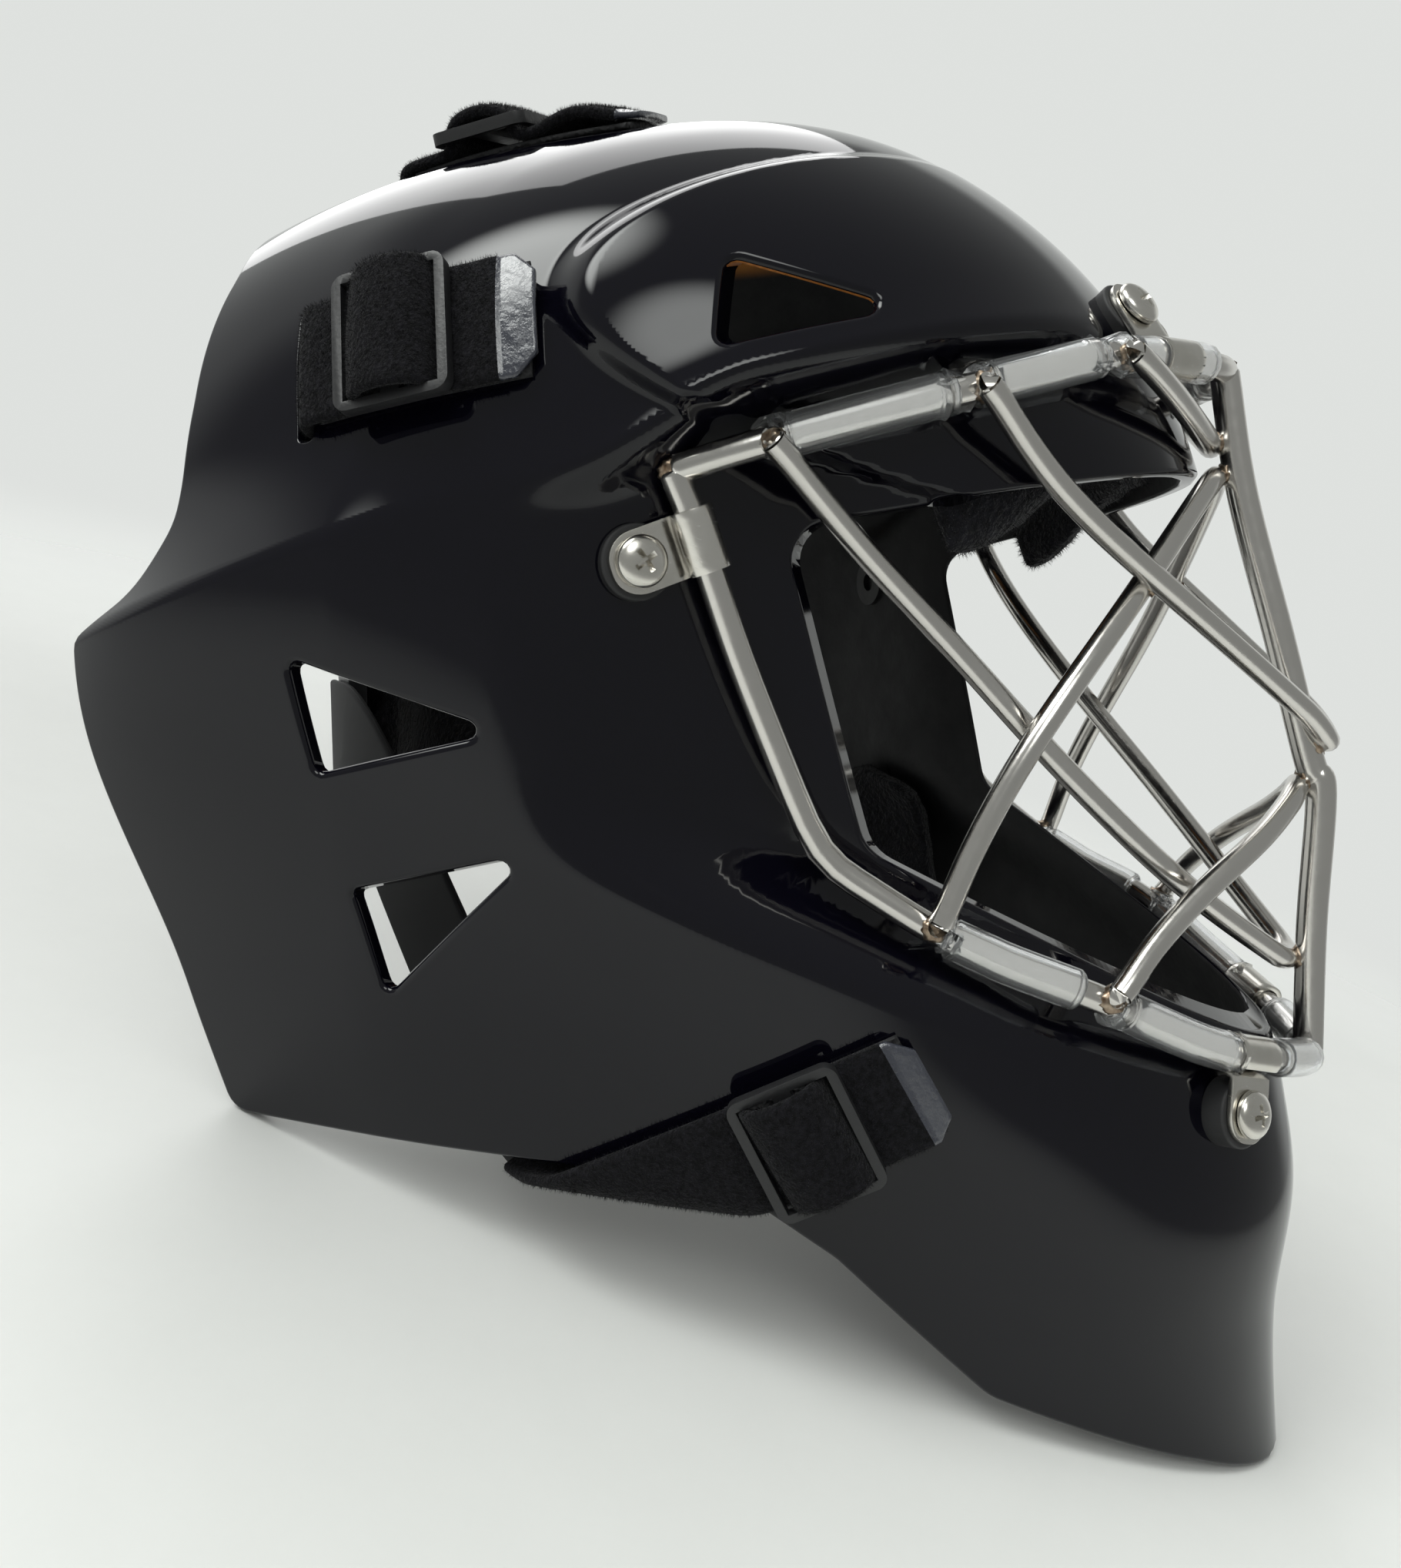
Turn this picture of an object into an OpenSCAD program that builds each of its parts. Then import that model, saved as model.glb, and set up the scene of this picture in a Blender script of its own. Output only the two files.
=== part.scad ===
// Goalie mask: a moulded shell with a wire cage, clips, straps, pads and a sprung backplate.
// Everything is drawn as worn (x to the wearer's left, y to the back, z up, origin at the level
// axis of the head) and then laid down on its chin and its two rear corners.

/* [Shell] */
// Width of the shell at the level axis, without the flare
shell_w = 209; // [203:1:214]
// Reach of the shell in front of the level axis
shell_front = 91.5; // [89:0.5:94]
// Height of the crown above the level axis
crown_h = 103.5; // [100:0.5:107]
// Drop of the chin below the level axis
chin_drop = 181.5; // [177:0.5:186]
// Wall of the shell
shell_wall = 4; // [3.5:0.1:5]
// How far the jaw edge flares out at the rear
flare = 13; // [9:0.5:15]
// Depth of the cheek recess that takes the cage
cheek_recess = 21.5; // [20.5:0.5:23]
// How far the temple pod stands out
pod_rise = 5; // [3:0.5:6]

/* [Openings] */
// Corner radius at the upper rear of the face opening
face_r_top = 7; // [4:0.5:10]
// Corner radius at the lower rear of the face opening
face_r_low = 9; // [5:0.5:12]
// Corner radius of the vents
vent_r = 1.75; // [1.5:0.25:3.5]
// Width of the strap slots
slot_w = 3.4; // [3:0.1:4.5]

/* [Cage] */
// Diameter of the perimeter wires
wire_d = 5.5; // [5:0.1:5.8]
// Diameter of the vees
vee_d = 4.8; // [4.4:0.1:5.5]
// Diameter of the centre bar
bar_d = 6.2; // [5.6:0.1:6.8]
// How deep two wires melt into each other at a weld
weld_bite = 0.5; // [0.3:0.1:0.9]
// Outer diameter of the clear tube lengths
tube_d = 8; // [7.6:0.1:9.8]
// Room between tube and wire
tube_room = 0.1; // [0.05:0.05:0.3]

/* [Clips] */
// Width of the clip strip
clip_w = 11; // [9:0.5:12]
// Thickness of the clip strip
clip_t = 1.2; // [0.8:0.1:1.4]
// Room between clip and wire
clip_room = 0.2; // [0.15:0.05:0.4]
// Diameter of the rubber washers
washer_d = 12; // [10:0.5:12.5]
// Thickness of the rubber washers at the temples
temple_washer = 2.5; // [2:0.1:3.2]
// Thickness of the rubber washers at the brow
brow_washer = 4; // [3:0.1:4.6]
// Thickness of the rubber washers at the chin
chin_washer = 4.5; // [3.6:0.1:5]
// Diameter of the screws
screw_d = 4.8; // [4:0.1:5]
// Diameter of the screw heads
head_d = 9.5; // [8:0.25:10.5]
// Height of the screw heads
head_h = 2.8; // [2:0.1:3.4]
// Diameter of the nut flanges inside the shell
nut_d = 13; // [11:0.5:14]
// Thickness of the nut flanges
nut_t = 1.3; // [0.8:0.1:1.8]
// Outer diameter of the nut barrels
barrel_d = 6.4; // [6:0.1:7]
// Radial room of screws and barrels in their bores
bore_room = 0.1; // [0.05:0.05:0.3]
// Depth of the flat seats cut for washers and nuts
seat_sink = 0.5; // [0.3:0.1:0.8]

/* [Straps] */
// Width of the straps
strap_w = 22; // [20:0.5:24]
// Thickness of the straps
strap_t = 2.2; // [1.5:0.1:2.6]
// Thickness of the hook patches under the straps
patch_t = 1.2; // [0.8:0.1:1.8]
// Length of a slide along its strap
slide_l = 22; // [21:0.5:26]
// Width of a slide's bars
slide_bar = 4; // [3:0.25:4.5]
// Width of a slide's rails
slide_rail = 1.8; // [1.5:0.1:3]
// Thickness of a slide
slide_t = 2.4; // [1.8:0.1:3]

/* [Backplate] */
// Outer radius of the backplate
plate_r = 75; // [71:0.5:79]
// Height of the backplate
plate_h = 107; // [96:1:114]
// Thickness of the backplate
plate_t = 4; // [3:0.25:5]
// Thickness of the backplate liner
liner_t = 9; // [6:0.5:11]
// Angle that the backplate spans
plate_span = 100; // [90:1:106]

/* [Pads] */
// Thickness of the forehead pad
brow_t = 13; // [9:0.5:15]
// Thickness of the crown pad
crown_t = 10; // [7:0.5:13]
// Thickness of the temple pads
temple_t = 10; // [7:0.5:13]
// Thickness of the jaw pads
jaw_t = 14; // [9:0.5:16]
// Thickness of the chin cup
chin_t = 10; // [7:0.5:12]

/* [Hidden] */
// Room between pieces that lie on each other
lay = 0.15;
$fn = 48;

// The places below are chosen for this size, and stretch with the four overall sizes
kx = shell_w/209;
ky = shell_front/91.5;
k_up = crown_h/103.5;
k_down = chin_drop/181.5;
function kz(z) = z > 0 ? k_up : k_down;
function at(p) = [p[0]*kx, p[1]*ky, p[2]*kz(p[2])];
function side_at(q) = [q[0]*ky, q[1]*kz(q[1])];

// Small tools
function unit(v) = v/norm(v);
function smooth(t) = let (c = min(1, max(0, t))) c*c*(3 - 2*c);
function flip(p) = [-p[0], p[1], p[2]];
function last(v) = v[len(v) - 1];

// Shell surface

// Height, front, half width, place of the widest point, back, power of the front curve
STATIONS = [
    [10, -91.5, 104.5, 50, 173, 1.55],
    [-30, -97, 103, 55, 200, 1.55],
    [-70, -103, 96, 60, 230, 1.6],
    [-100, -110.5, 88, 62, 250, 1.75],
    [-120, -113.5, 82, 62, 250, 1.85],
    [-150, -111, 72, 58, 250, 2.2],
    [-190, -113.5, 58, 50, 250, 2.5]];
ROWS = [for (s = STATIONS) [s[0]*kz(s[0]), s[1]*ky, s[2]*kx, s[3]*ky, s[4]*ky, s[5]]];
LEVEL = ROWS[0];
top_y = -2*ky;
front_power = 1.74;
back_power = 2.36;
width_power = 2.3;
rear_power = 2.6;
top_power = 2;

function secant(i, k) = (ROWS[i + 1][k] - ROWS[i][k])/(ROWS[i + 1][0] - ROWS[i][0]);
function slope(i, k) =
    i == 0 ? 0 :
    i == len(ROWS) - 1 ? secant(i - 1, k) : (secant(i - 1, k) + secant(i, k))/2;
function row_of(z) = max(0, min(len(ROWS) - 2, len([for (r = ROWS) if (r[0] > z) 1]) - 1));
function lofted(z, k) =
    let (i = row_of(z), h = ROWS[i + 1][0] - ROWS[i][0], t = (z - ROWS[i][0])/h)
    (2*t^3 - 3*t^2 + 1)*ROWS[i][k] + (t^3 - 2*t^2 + t)*h*slope(i, k)
    + (3*t^2 - 2*t^3)*ROWS[i + 1][k] + (t^3 - t^2)*h*slope(i + 1, k);
function round_off(s, p) = (1 - s^p)^(1/p);

// Front, back, half width, widest place and front power at a height, moved in by an inset
function section(z, inset) =
    z > LEVEL[0] ?
        let (s = min(0.99999, (z - LEVEL[0])/(crown_h - inset - LEVEL[0])))
        [top_y + (LEVEL[1] + inset - top_y)*round_off(s, front_power),
         top_y + (LEVEL[4] - inset - top_y)*round_off(s, back_power),
         (LEVEL[2] - inset)*round_off(s, width_power),
         top_y + (LEVEL[3] - top_y)*round_off(s, 2),
         LEVEL[5] + (top_power - LEVEL[5])*smooth(1.2*s)] :
        [lofted(z, 1) + inset, lofted(z, 4) - inset, lofted(z, 2) - inset, lofted(z, 3), lofted(z, 5)];

// The ridge from the flared jaw corner up to the forehead
function ridge_z(y) = (-5 + (111 - y/ky)*0.305 + 7*smooth((8 - y/ky)/30))*k_up;
flare_start = -15*ky;
flare_end = 111*ky;
flare_above = 26;
flare_below = 75;
function flare_at(y, z) =
    let (up = z - ridge_z(y))
    flare*smooth((y - flare_start)/(flare_end - flare_start))
    *(up > 0 ? max(0, 1 - up/flare_above)^2 : smooth(1 + up/flare_below));

// The raised temple pod and the cheek recess below the ridge
pod_end = 13*ky;
pod_z = 57*k_up;
pod_half = 21;
pod_nose = 20;
pod_soft = 13;
function pod_at(y, z) =
    pod_rise*smooth((pod_end - y - ((z - pod_z)/pod_half)^2*pod_nose)/pod_soft);
cheek_end = 24*ky;
cheek_run = 46;
cheek_step = 6;
cheek_low = -44*k_down;
cheek_low_slope = 0.45;
cheek_low_soft = 22;
function cheek_at(y, z) =
    cheek_recess*smooth((cheek_end - y)/cheek_run)*smooth((ridge_z(y) - z)/cheek_step)
    *smooth((z - cheek_low - cheek_low_slope*y)/cheek_low_soft + 0.5);

function half_width(y, z, inset) =
    let (
        s = section(z, inset),
        ahead = y < s[3],
        t = ahead ? (s[3] - y)/(s[3] - s[0]) : (y - s[3])/(s[1] - s[3]),
        fall = max(0, 1 - min(1, t)^(ahead ? s[4] : rear_power)))
    (s[2] + flare_at(y, z) + pod_at(y, z) - cheek_at(y, z))*sqrt(fall);

// Outward direction on the left half, and the places that lie on the outer surface
function outward(y, z) =
    let (
        d = 0.5,
        by_y = (half_width(y + d, z, 0) - half_width(y - d, z, 0))/(2*d),
        by_z = (half_width(y, z + d, 0) - half_width(y, z - d, 0))/(2*d))
    unit([1, -by_y, -by_z]);
function front_y(x, z, lo, hi, n = 24) =
    n == 0 ? (lo + hi)/2 :
    half_width((lo + hi)/2, z, 0) < x ? front_y(x, z, (lo + hi)/2, hi, n - 1) :
    front_y(x, z, lo, (lo + hi)/2, n - 1);
function roof_z(x, y, lo, hi, n = 24) =
    n == 0 ? (lo + hi)/2 :
    half_width(y, (lo + hi)/2, 0) > x ? roof_z(x, y, (lo + hi)/2, hi, n - 1) :
    roof_z(x, y, lo, (lo + hi)/2, n - 1);

// Grid of the surface: the rows lean with the ridge, so that its step stays crisp
around = 28;
rows_below = 16;
rows_step = 4;
rows_above = 15;
grid_low = -195*k_down;
ridge_mid = ridge_z(20*ky);
step_low = ridge_mid - cheek_step - 1;
top_angle = 88;
rear_reach = 126*ky;
function levels(inset) = concat(
    [for (i = [0:rows_below]) grid_low - inset*0.1 + (step_low - grid_low + inset*0.1)*i/rows_below],
    [for (i = [1:rows_step]) step_low + (ridge_mid - step_low)*i/rows_step],
    [for (i = [1:rows_above])
        ridge_mid + (crown_h - inset - ridge_mid)*sin(top_angle*i/rows_above)]);
function lean(v, inset) =
    v > ridge_mid ? max(0, 1 - (v - ridge_mid)/(crown_h - inset - ridge_mid)) :
    max(0, 1 - (ridge_mid - v)/(ridge_mid + 110*k_down));
function depth_at(u, z, inset) =
    let (s = section(z, inset), rear = min(s[1], rear_reach + inset*0.1))
    s[0] + (rear - s[0])*(1 - cos(180*abs(u)))/2;
function skin(u, v, inset) =
    let (
        y0 = depth_at(u, v, inset),
        z = v + (ridge_z(y0) - ridge_mid)*lean(v, inset),
        y = depth_at(u, z, inset),
        x = u == 0 ? 0 : max(0.02, half_width(y, z, inset)))
    [u < 0 ? -x : x, y, z];

// Closed dome inside the surface that lies one inset below the outside
module dome(inset) {
    v = levels(inset);
    ring = concat([for (j = [0:around]) j/around], [for (j = [around:-1:1]) -j/around]);
    n = len(ring);
    low = [0, 0, v[0]];
    high = [0, top_y, crown_h - inset];
    points = concat([for (z = v) for (u = ring) skin(u, z, inset)], [low, high]);
    m = len(v);
    sides = [for (i = [0:m - 2]) for (j = [0:n - 1])
        let (a = i*n + j, b = i*n + (j + 1)%n)
        each j < around ? [[a, b + n, b], [a, a + n, b + n]] : [[a, a + n, b], [b, a + n, b + n]]];
    floor_fan = [for (j = [0:n - 1]) [m*n, j, (j + 1)%n]];
    top_fan = [for (j = [0:n - 1]) [m*n + 1, (m - 1)*n + (j + 1)%n, (m - 1)*n + j]];
    polyhedron(points, concat(sides, floor_fan, top_fan), convexity = 8);
}

// Everything between two insets
module layer(outer, inner) {
    difference() {
        dome(outer);
        dome(inner);
    }
}

// Outlines in the side view, as [place, corner radius], and prisms made of them
function corner(a, b, c, r) =
    r == 0 ? [b] :
    let (
        u = unit(a - b),
        v = unit(c - b),
        half = acos(u*v)/2,
        middle = b + unit(u + v)*r/sin(half),
        from = b + u*r/tan(half) - middle,
        to = b + v*r/tan(half) - middle,
        a0 = atan2(from[1], from[0]),
        turn = (atan2(to[1], to[0]) - a0 + 540)%360 - 180)
    [for (i = [0:4]) middle + r*[cos(a0 + turn*i/4), sin(a0 + turn*i/4)]];
function rounded(list) =
    let (n = len(list))
    [for (i = [0:n - 1])
        each corner(list[(i + n - 1)%n][0], list[i][0], list[(i + 1)%n][0], list[i][1])];
function outline(list) = rounded([for (c = list) [side_at([c[0], c[1]]), c[2]]]);

module across() {
    rotate([90, 0, 90])
        linear_extrude(height = 400, center = true) children();
}

module across_right() {
    rotate([90, 0, 90])
        translate([0, 0, -200])
            linear_extrude(height = 190) children();
}

// Outer edge of the shell in the side view
rear_corner_r = 5;
chin_tip = [section(-chin_drop, 0)[0], -chin_drop];
EDGE = concat(
    outline([
        [-160, 130, 0], [103, 130, 0], [100, 90, 6], [90, 66, 14], [89, 40, 30], [90.5, 17, 14],
        [97, 4, 14], [111, -4.5, 4], [96.5, -105, rear_corner_r], [32, -106.5, 20], [-12, -109, 12],
        [-31.5, -124, 10], [-59, -154, 12], [-98, -173, 20]]),
    [chin_tip, [-160*ky, chin_tip[1]]]);
FACE = outline([
    [-160, 41.6, 0], [-20, 15.3, face_r_top], [-34.5, -45, face_r_low], [-160, -117.3, 0]]);
VENTS = [
    outline([[-15, 61, vent_r], [-43, 53, vent_r], [-15.5, 45, vent_r]]),
    outline([[59, -8, vent_r], [21.8, -21, vent_r], [57, -29.5, vent_r]]),
    outline([[54.5, -52, vent_r], [18.6, -43.6, vent_r], [51, -73.5, vent_r]])];

// Rest: the chin tip and the two rounded rear corners lie on the floor
rear_middle = let (
    a = side_at([111, -4.5]),
    b = side_at([96.5, -105]),
    c = side_at([32, -106.5]),
    u = unit(a - b),
    v = unit(c - b))
    b + unit(u + v)*rear_corner_r/sin(acos(u*v)/2);
foot_span = rear_middle - chin_tip;
tilt = atan2(foot_span[1], foot_span[0]) - asin(rear_corner_r/norm(foot_span));
rest_lift = chin_tip[0]*sin(tilt) - chin_tip[1]*cos(tilt);
nose_y = chin_tip[0]*cos(tilt) + chin_tip[1]*sin(tilt);
tail = [36*ky + plate_r, plate_h - 45*k_down];
tail_y = tail[0]*cos(tilt) + tail[1]*sin(tilt);
rest_shift = -(nose_y + tail_y)/2;
module rest() {
    translate([0, rest_shift, rest_lift])
        rotate([-tilt, 0, 0]) children();
}

// A right-hand piece, or its mirror image on the left
module on_side(side) {
    mirror([side == "left" ? 1 : 0, 0, 0]) children();
}

// Frame with its origin at p, x along `along` and z out of the shell along n
function frame_at(p, along, n) =
    let (ez = n, ex = unit(along - (along*ez)*ez), ey = cross(ez, ex))
    [[ex[0], ey[0], ez[0], p[0]], [ex[1], ey[1], ez[1], p[1]], [ex[2], ey[2], ez[2], p[2]]];
function right_point(q) = [-half_width(q[0], q[1], 0), q[0], q[1]];
function right_frame(q, angle) =
    frame_at(right_point(q), [0, -cos(angle), sin(angle)], flip(outward(q[0], q[1])));

// Swept tubes
function knot(p, i) =
    i < 0 ? 2*p[0] - p[1] : i >= len(p) ? 2*last(p) - p[len(p) - 2] : p[i];
function bend(a, b, c, d, t) =
    0.5*(2*b + (c - a)*t + (2*a - 5*b + 4*c - d)*t^2 + (3*b - a - 3*c + d)*t^3);
function spline(p, n) = concat(
    [for (i = [0:len(p) - 2]) for (k = [0:n - 1])
        bend(knot(p, i - 1), p[i], p[i + 1], knot(p, i + 2), k/n)],
    [last(p)]);
function mirrored(half) = concat(half, [for (i = [len(half) - 2:-1:0]) flip(half[i])]);
function heading(p, i) = unit(p[min(i + 1, len(p) - 1)] - p[max(i - 1, 0)]);
function square_to(v, t) = unit(v - (v*t)*t);
function normals(p) = [for (
    i = 0, v = square_to([0.2, -0.3, 0.93], heading(p, 0));
    i < len(p);
    i = i + 1, v = i < len(p) ? square_to(v, heading(p, i)) : v) v];
function rings(p, r, first, end) =
    let (nv = normals(p))
    [for (i = [first:end]) for (k = [0:sides - 1])
        let (t = heading(p, i), b = cross(t, nv[i]), a = 360*k/sides)
        p[i] + r*(nv[i]*cos(a) + b*sin(a))];
sides = 8;
// The flats of an eight-sided tube lie close to the round wire's diameter
function over_flats(d) = d/2/cos(180/sides/2);
function ring_walls(n, start, inside) = [for (i = [0:n - 2]) for (k = [0:sides - 1])
    let (a = start + i*sides + k, b = start + i*sides + (k + 1)%sides)
    each inside ? [[a, b, b + sides], [a, b + sides, a + sides]] :
        [[a, b + sides, b], [a, a + sides, b + sides]]];

module tube(p, d) {
    n = len(p);
    first_cap = [[for (k = [0:sides - 1]) k]];
    last_cap = [[for (k = [sides - 1:-1:0]) (n - 1)*sides + k]];
    polyhedron(
        rings(p, over_flats(d), 0, n - 1),
        concat(ring_walls(n, 0, false), first_cap, last_cap));
}

// A length of tube over the wire that runs along p, from one step to another
module sleeve(p, first, end, outer, inner) {
    n = end - first + 1;
    m = n*sides;
    e = (n - 1)*sides;
    ends = [for (k = [0:sides - 1])
        let (j = (k + 1)%sides)
        each [[k, j + m, k + m], [k, j, j + m], [e + k, e + k + m, e + j + m], [e + k, e + j + m, e + j]]];
    polyhedron(
        concat(rings(p, over_flats(outer), first, end), rings(p, over_flats(inner), first, end)),
        concat(ring_walls(n, 0, false), ring_walls(n, m, true), ends));
}

// Cage: the right half of each wire, from its outer end to the centre
TOP = [for (p = [
    [-84.5, -5, 25], [-80, -19.5, 29.5], [-72, -36, 34.5], [-62, -52, 39.5], [-51, -63, 43.5],
    [-38, -73.5, 47.5], [-21, -84, 49], [0, -92.5, 49.5]]) at(p)];
LOWER = [for (p = [
    [-84.5, -5, 25], [-82, -8.5, 14.5], [-77, -14.5, -7.5], [-70, -28, -45], [-63, -47, -58],
    [-58, -60, -64.5], [-51.5, -77, -71.5], [-35.5, -96, -83], [-18, -108.5, -89],
    [0, -115, -92]]) at(p)];
BAR = [for (p = [
    [0, -92.5, 49.5], [0, -97, 25], [0, -105.5, -5], [0, -112.5, -30.5], [0, -115, -37],
    [0, -114.5, -65], [0, -115, -92]]) at(p)];
perimeter_steps = 6;
vee_steps = 4;
top_path = spline(mirrored(TOP), perimeter_steps);
lower_path = spline(mirrored(LOWER), perimeter_steps);
bar_path = spline(BAR, vee_steps);
function bar_y(z) =
    let (i = len([for (p = bar_path) if (p[2] > z) 1]) - 1, a = bar_path[i], b = bar_path[i + 1])
    a[1] + (b[1] - a[1])*(z - a[2])/(b[2] - a[2]);

// A vee is welded on the outside of a perimeter wire, and behind or before the centre bar
// Where a vee starts, past the middle of the wire that carries it
vee_end = 1;
function vee(foot, out, mid, height, behind) =
    let (
        start = foot + unit(out)*((wire_d + vee_d)/2 - weld_bite),
        away = unit(mid[0] - start),
        z = height*kz(height),
        middle = [0, bar_y(z) + behind*((vee_d + bar_d)/2 - 2*weld_bite), z])
    spline(mirrored(concat(
        [start + away*vee_end, start + away*wire_d*0.9 + unit(out)*weld_bite], mid, [middle])), vee_steps);
function vee_at(foot, out, list, height, behind) =
    vee(foot, out, [for (p = list) at(p)], height, behind);
vee_upper = vee_at(TOP[1], [-0.75, -0.6, 0.2],
    [[-64, -34, 11], [-50, -50, -8], [-47, -63.5, -24], [-40.5, -77.5, -39], [-30, -92, -55]], -72, 1);
vee_middle = vee_at(TOP[3], [-0.55, -0.8, 0.25],
    [[-53.5, -63, 28], [-45, -72.5, 16.5], [-33, -85, 5], [-21, -98.5, -7.5], [-8, -111.5, -20]], -26, -1);
vee_brow = vee_at(TOP[5], [-0.4, -0.9, 0.2], [[-21, -86.5, 40]], 34.5, 1);
vee_lower = vee_at(LOWER[4], [-0.8, -0.6, 0],
    [[-62, -56, -40], [-57.5, -64, -22.5], [-48, -71, -8], [-33, -78.5, 5], [-21, -85.5, 17]], 28, 1);
vee_chin = vee_at(LOWER[6], [-0.65, -0.75, 0.1],
    [[-46, -86, -62], [-36, -93.5, -53.5], [-28, -100, -47.5], [-15.5, -106.5, -42]], -35.5, 1);

// Lengths of clear tube, as [first, last] steps along the right half of a wire
TOP_TUBES = [[9, 15], [21, 27]];
LOWER_TUBES = [[26, 33], [38, 42], [48, 51]];

// Clip seats on the right: place on the shell, wire under the clip and its direction
temple_seat = let (q = side_at([2, 9])) right_point(q);
brow_seat = let (z = 57.5*k_up, x = 16.5*kx) [-x, front_y(x, z, section(z, 0)[0], -20*ky), z];
chin_seat = let (z = -98*k_down, x = 28*kx) [-x, front_y(x, z, section(z, 0)[0], -20*ky), z];
function wire_near(path, p) =
    let (
        d = [for (q = path) norm(q - p)],
        i = [for (k = [1:len(d) - 2]) if (d[k] == min(d)) k][0],
        t = heading(path, i))
    [path[i] + t*((p - path[i])*t), t];
// Clip frame: z out of the shell and square to the wire, x towards the wire
function clip_frame(p, path) =
    let (
        w = wire_near(path, p),
        n = square_to(flip(outward(p[1], p[2])), w[1]),
        to = w[0] - p)
    frame_at(p, to - (to*w[1])*w[1], n);
function clip_reach(p, path) =
    let (w = wire_near(path, p), n = square_to(flip(outward(p[1], p[2])), w[1]), to = w[0] - p)
    [norm(to - (to*n)*n - (to*w[1])*w[1]), to*n];
// Each clip: its frame, the wire's place in it and the thickness of its washer
CLIPS = [
    [clip_frame(temple_seat, lower_path), clip_reach(temple_seat, lower_path), temple_washer],
    [clip_frame(brow_seat, top_path), clip_reach(brow_seat, top_path), brow_washer],
    [clip_frame(chin_seat, lower_path), clip_reach(chin_seat, lower_path), chin_washer]];
loop_r = wire_d/2 + clip_room + clip_t/2;
// Height of the strip's middle above the seat, where it lies on the washer
function strip_z(c) = c[2] - seat_sink + lay + clip_t/2;
// Angle at which the strip, coming off the washer, runs onto the loop behind the wire
strip_flat = washer_d/2 + 0.8;
function loop_start(c) =
    let (d = [strip_flat, strip_z(c)] - c[1])
    (atan2(d[1], d[0]) + 360)%360 + acos(loop_r/norm(d));
clip_wrap = 240;
nut_seat = shell_wall - 1;
screw_l = shell_wall + 5;

module at_clips(only = [0, 1, 2], which = ["right", "left"]) {
    for (side = which) on_side(side)
        for (i = only) multmatrix(CLIPS[i][0]) {
            $clip = CLIPS[i];
            children();
        }
}

// A strip of one thickness along a flat path
function strip_side(p, h) = [for (i = [0:len(p) - 1])
    let (
        t = unit(p[min(i + 1, len(p) - 1)] - p[max(i - 1, 0)]))
    p[i] + h*[-t[1], t[0]]];
function strip(p, t) =
    let (a = strip_side(p, t/2), b = strip_side(p, -t/2))
    concat(a, [for (i = [len(b) - 1:-1:0]) b[i]]);

module clip(i, side) {
    c = CLIPS[i];
    z = strip_z(c);
    tail_x = -clip_w/2;
    start = loop_start(c);
    loop = [for (i = [0:24]) let (a = start + clip_wrap*i/24) c[1] + loop_r*[cos(a), sin(a)]];
    at_clips([i], [side])
        difference() {
            rotate([90, 0, 0])
                linear_extrude(height = clip_w, center = true)
                    polygon(strip(concat([[tail_x, z], [strip_flat, z]], loop), clip_t));
            cylinder(d = screw_d + 2*bore_room, h = 40, center = true);
        }
}

// Side strap, jaw strap and top strap: axis of each on the shell
side_angle = 10;
side_slot = side_at([61, 43]);
side_slide = side_at([40.3, 46.6]);
side_end = 24.5;
jaw_angle = 26;
jaw_slide = side_at([-27.2, -96.5]);
jaw_end = 24;
jaw_tail = 44;
top_x = 36*kx;
top_lean = 0.97;
top_slot_y = 74.5*ky;
top_slide_y = 54*ky;
top_end_y = 19*ky;
slot_room = 3;
slide_w = strap_w + 2*slide_rail + 1;
strap_low = patch_t + 2*lay;
strap_high = strap_low + strap_t;
slide_z = strap_high + lay;
top_slide = [-top_x, top_slide_y, roof_z(top_x, top_slide_y, 40, crown_h - 0.1)];
top_slot = [-top_x, top_slot_y, roof_z(top_x, top_slot_y, 40, crown_h - 0.1)];
side_frame = right_frame(side_slide, side_angle);
jaw_frame = right_frame(jaw_slide, jaw_angle);
top_frame = frame_at(top_slide, [0, -1, 0], flip(outward(top_slide[1], top_slide[2])));
top_slot_frame = frame_at(top_slot, [0, -1, 0], flip(outward(top_slot[1], top_slot[2])));
side_slot_frame = right_frame(side_slot, side_angle);

// Flat outline of a strap from behind to its end, with clipped end corners
module strap_flat(back, ahead, w) {
    clip_c = w/6;
    polygon([
        [-back, -w/2], [ahead - clip_c, -w/2], [ahead, -w/2 + clip_c],
        [ahead, w/2 - clip_c], [ahead - clip_c, w/2], [-back, w/2]]);
}

// The same outline laid on the shell: in the side view, or seen from above
module side_strip(middle, angle, back, ahead, w) {
    across_right()
        translate(middle)
            rotate(180 - angle) strap_flat(back, ahead, w);
}

module top_strip(back, ahead, w) {
    translate([-top_x, top_slide_y, 40])
        rotate(-90)
            linear_extrude(height = 100) strap_flat(back, ahead, w*top_lean);
}

// The strap's loop over the middle bar of its slide
module strap_hump() {
    foot = slide_bar/2 + strap_t*1.4;
    rise = slide_z + slide_t + lay + strap_t/2;
    rotate([90, 0, 0])
        linear_extrude(height = strap_w, center = true)
            polygon(strip([
                [-foot, slide_z - strap_t*0.75], [-foot, rise - strap_t], [-foot*0.65, rise + 0.1],
                [0, rise + 0.6], [foot*0.65, rise + 0.1], [foot, rise - strap_t],
                [foot, slide_z - strap_t*0.75]], strap_t));
}

// The strap's tongue through its slot
module strap_tongue(w) {
    depth = shell_wall + 4;
    translate([-strap_t/2, -w/2, -depth])
        cube([strap_t, w, depth + strap_low + strap_t/2]);
}

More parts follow.
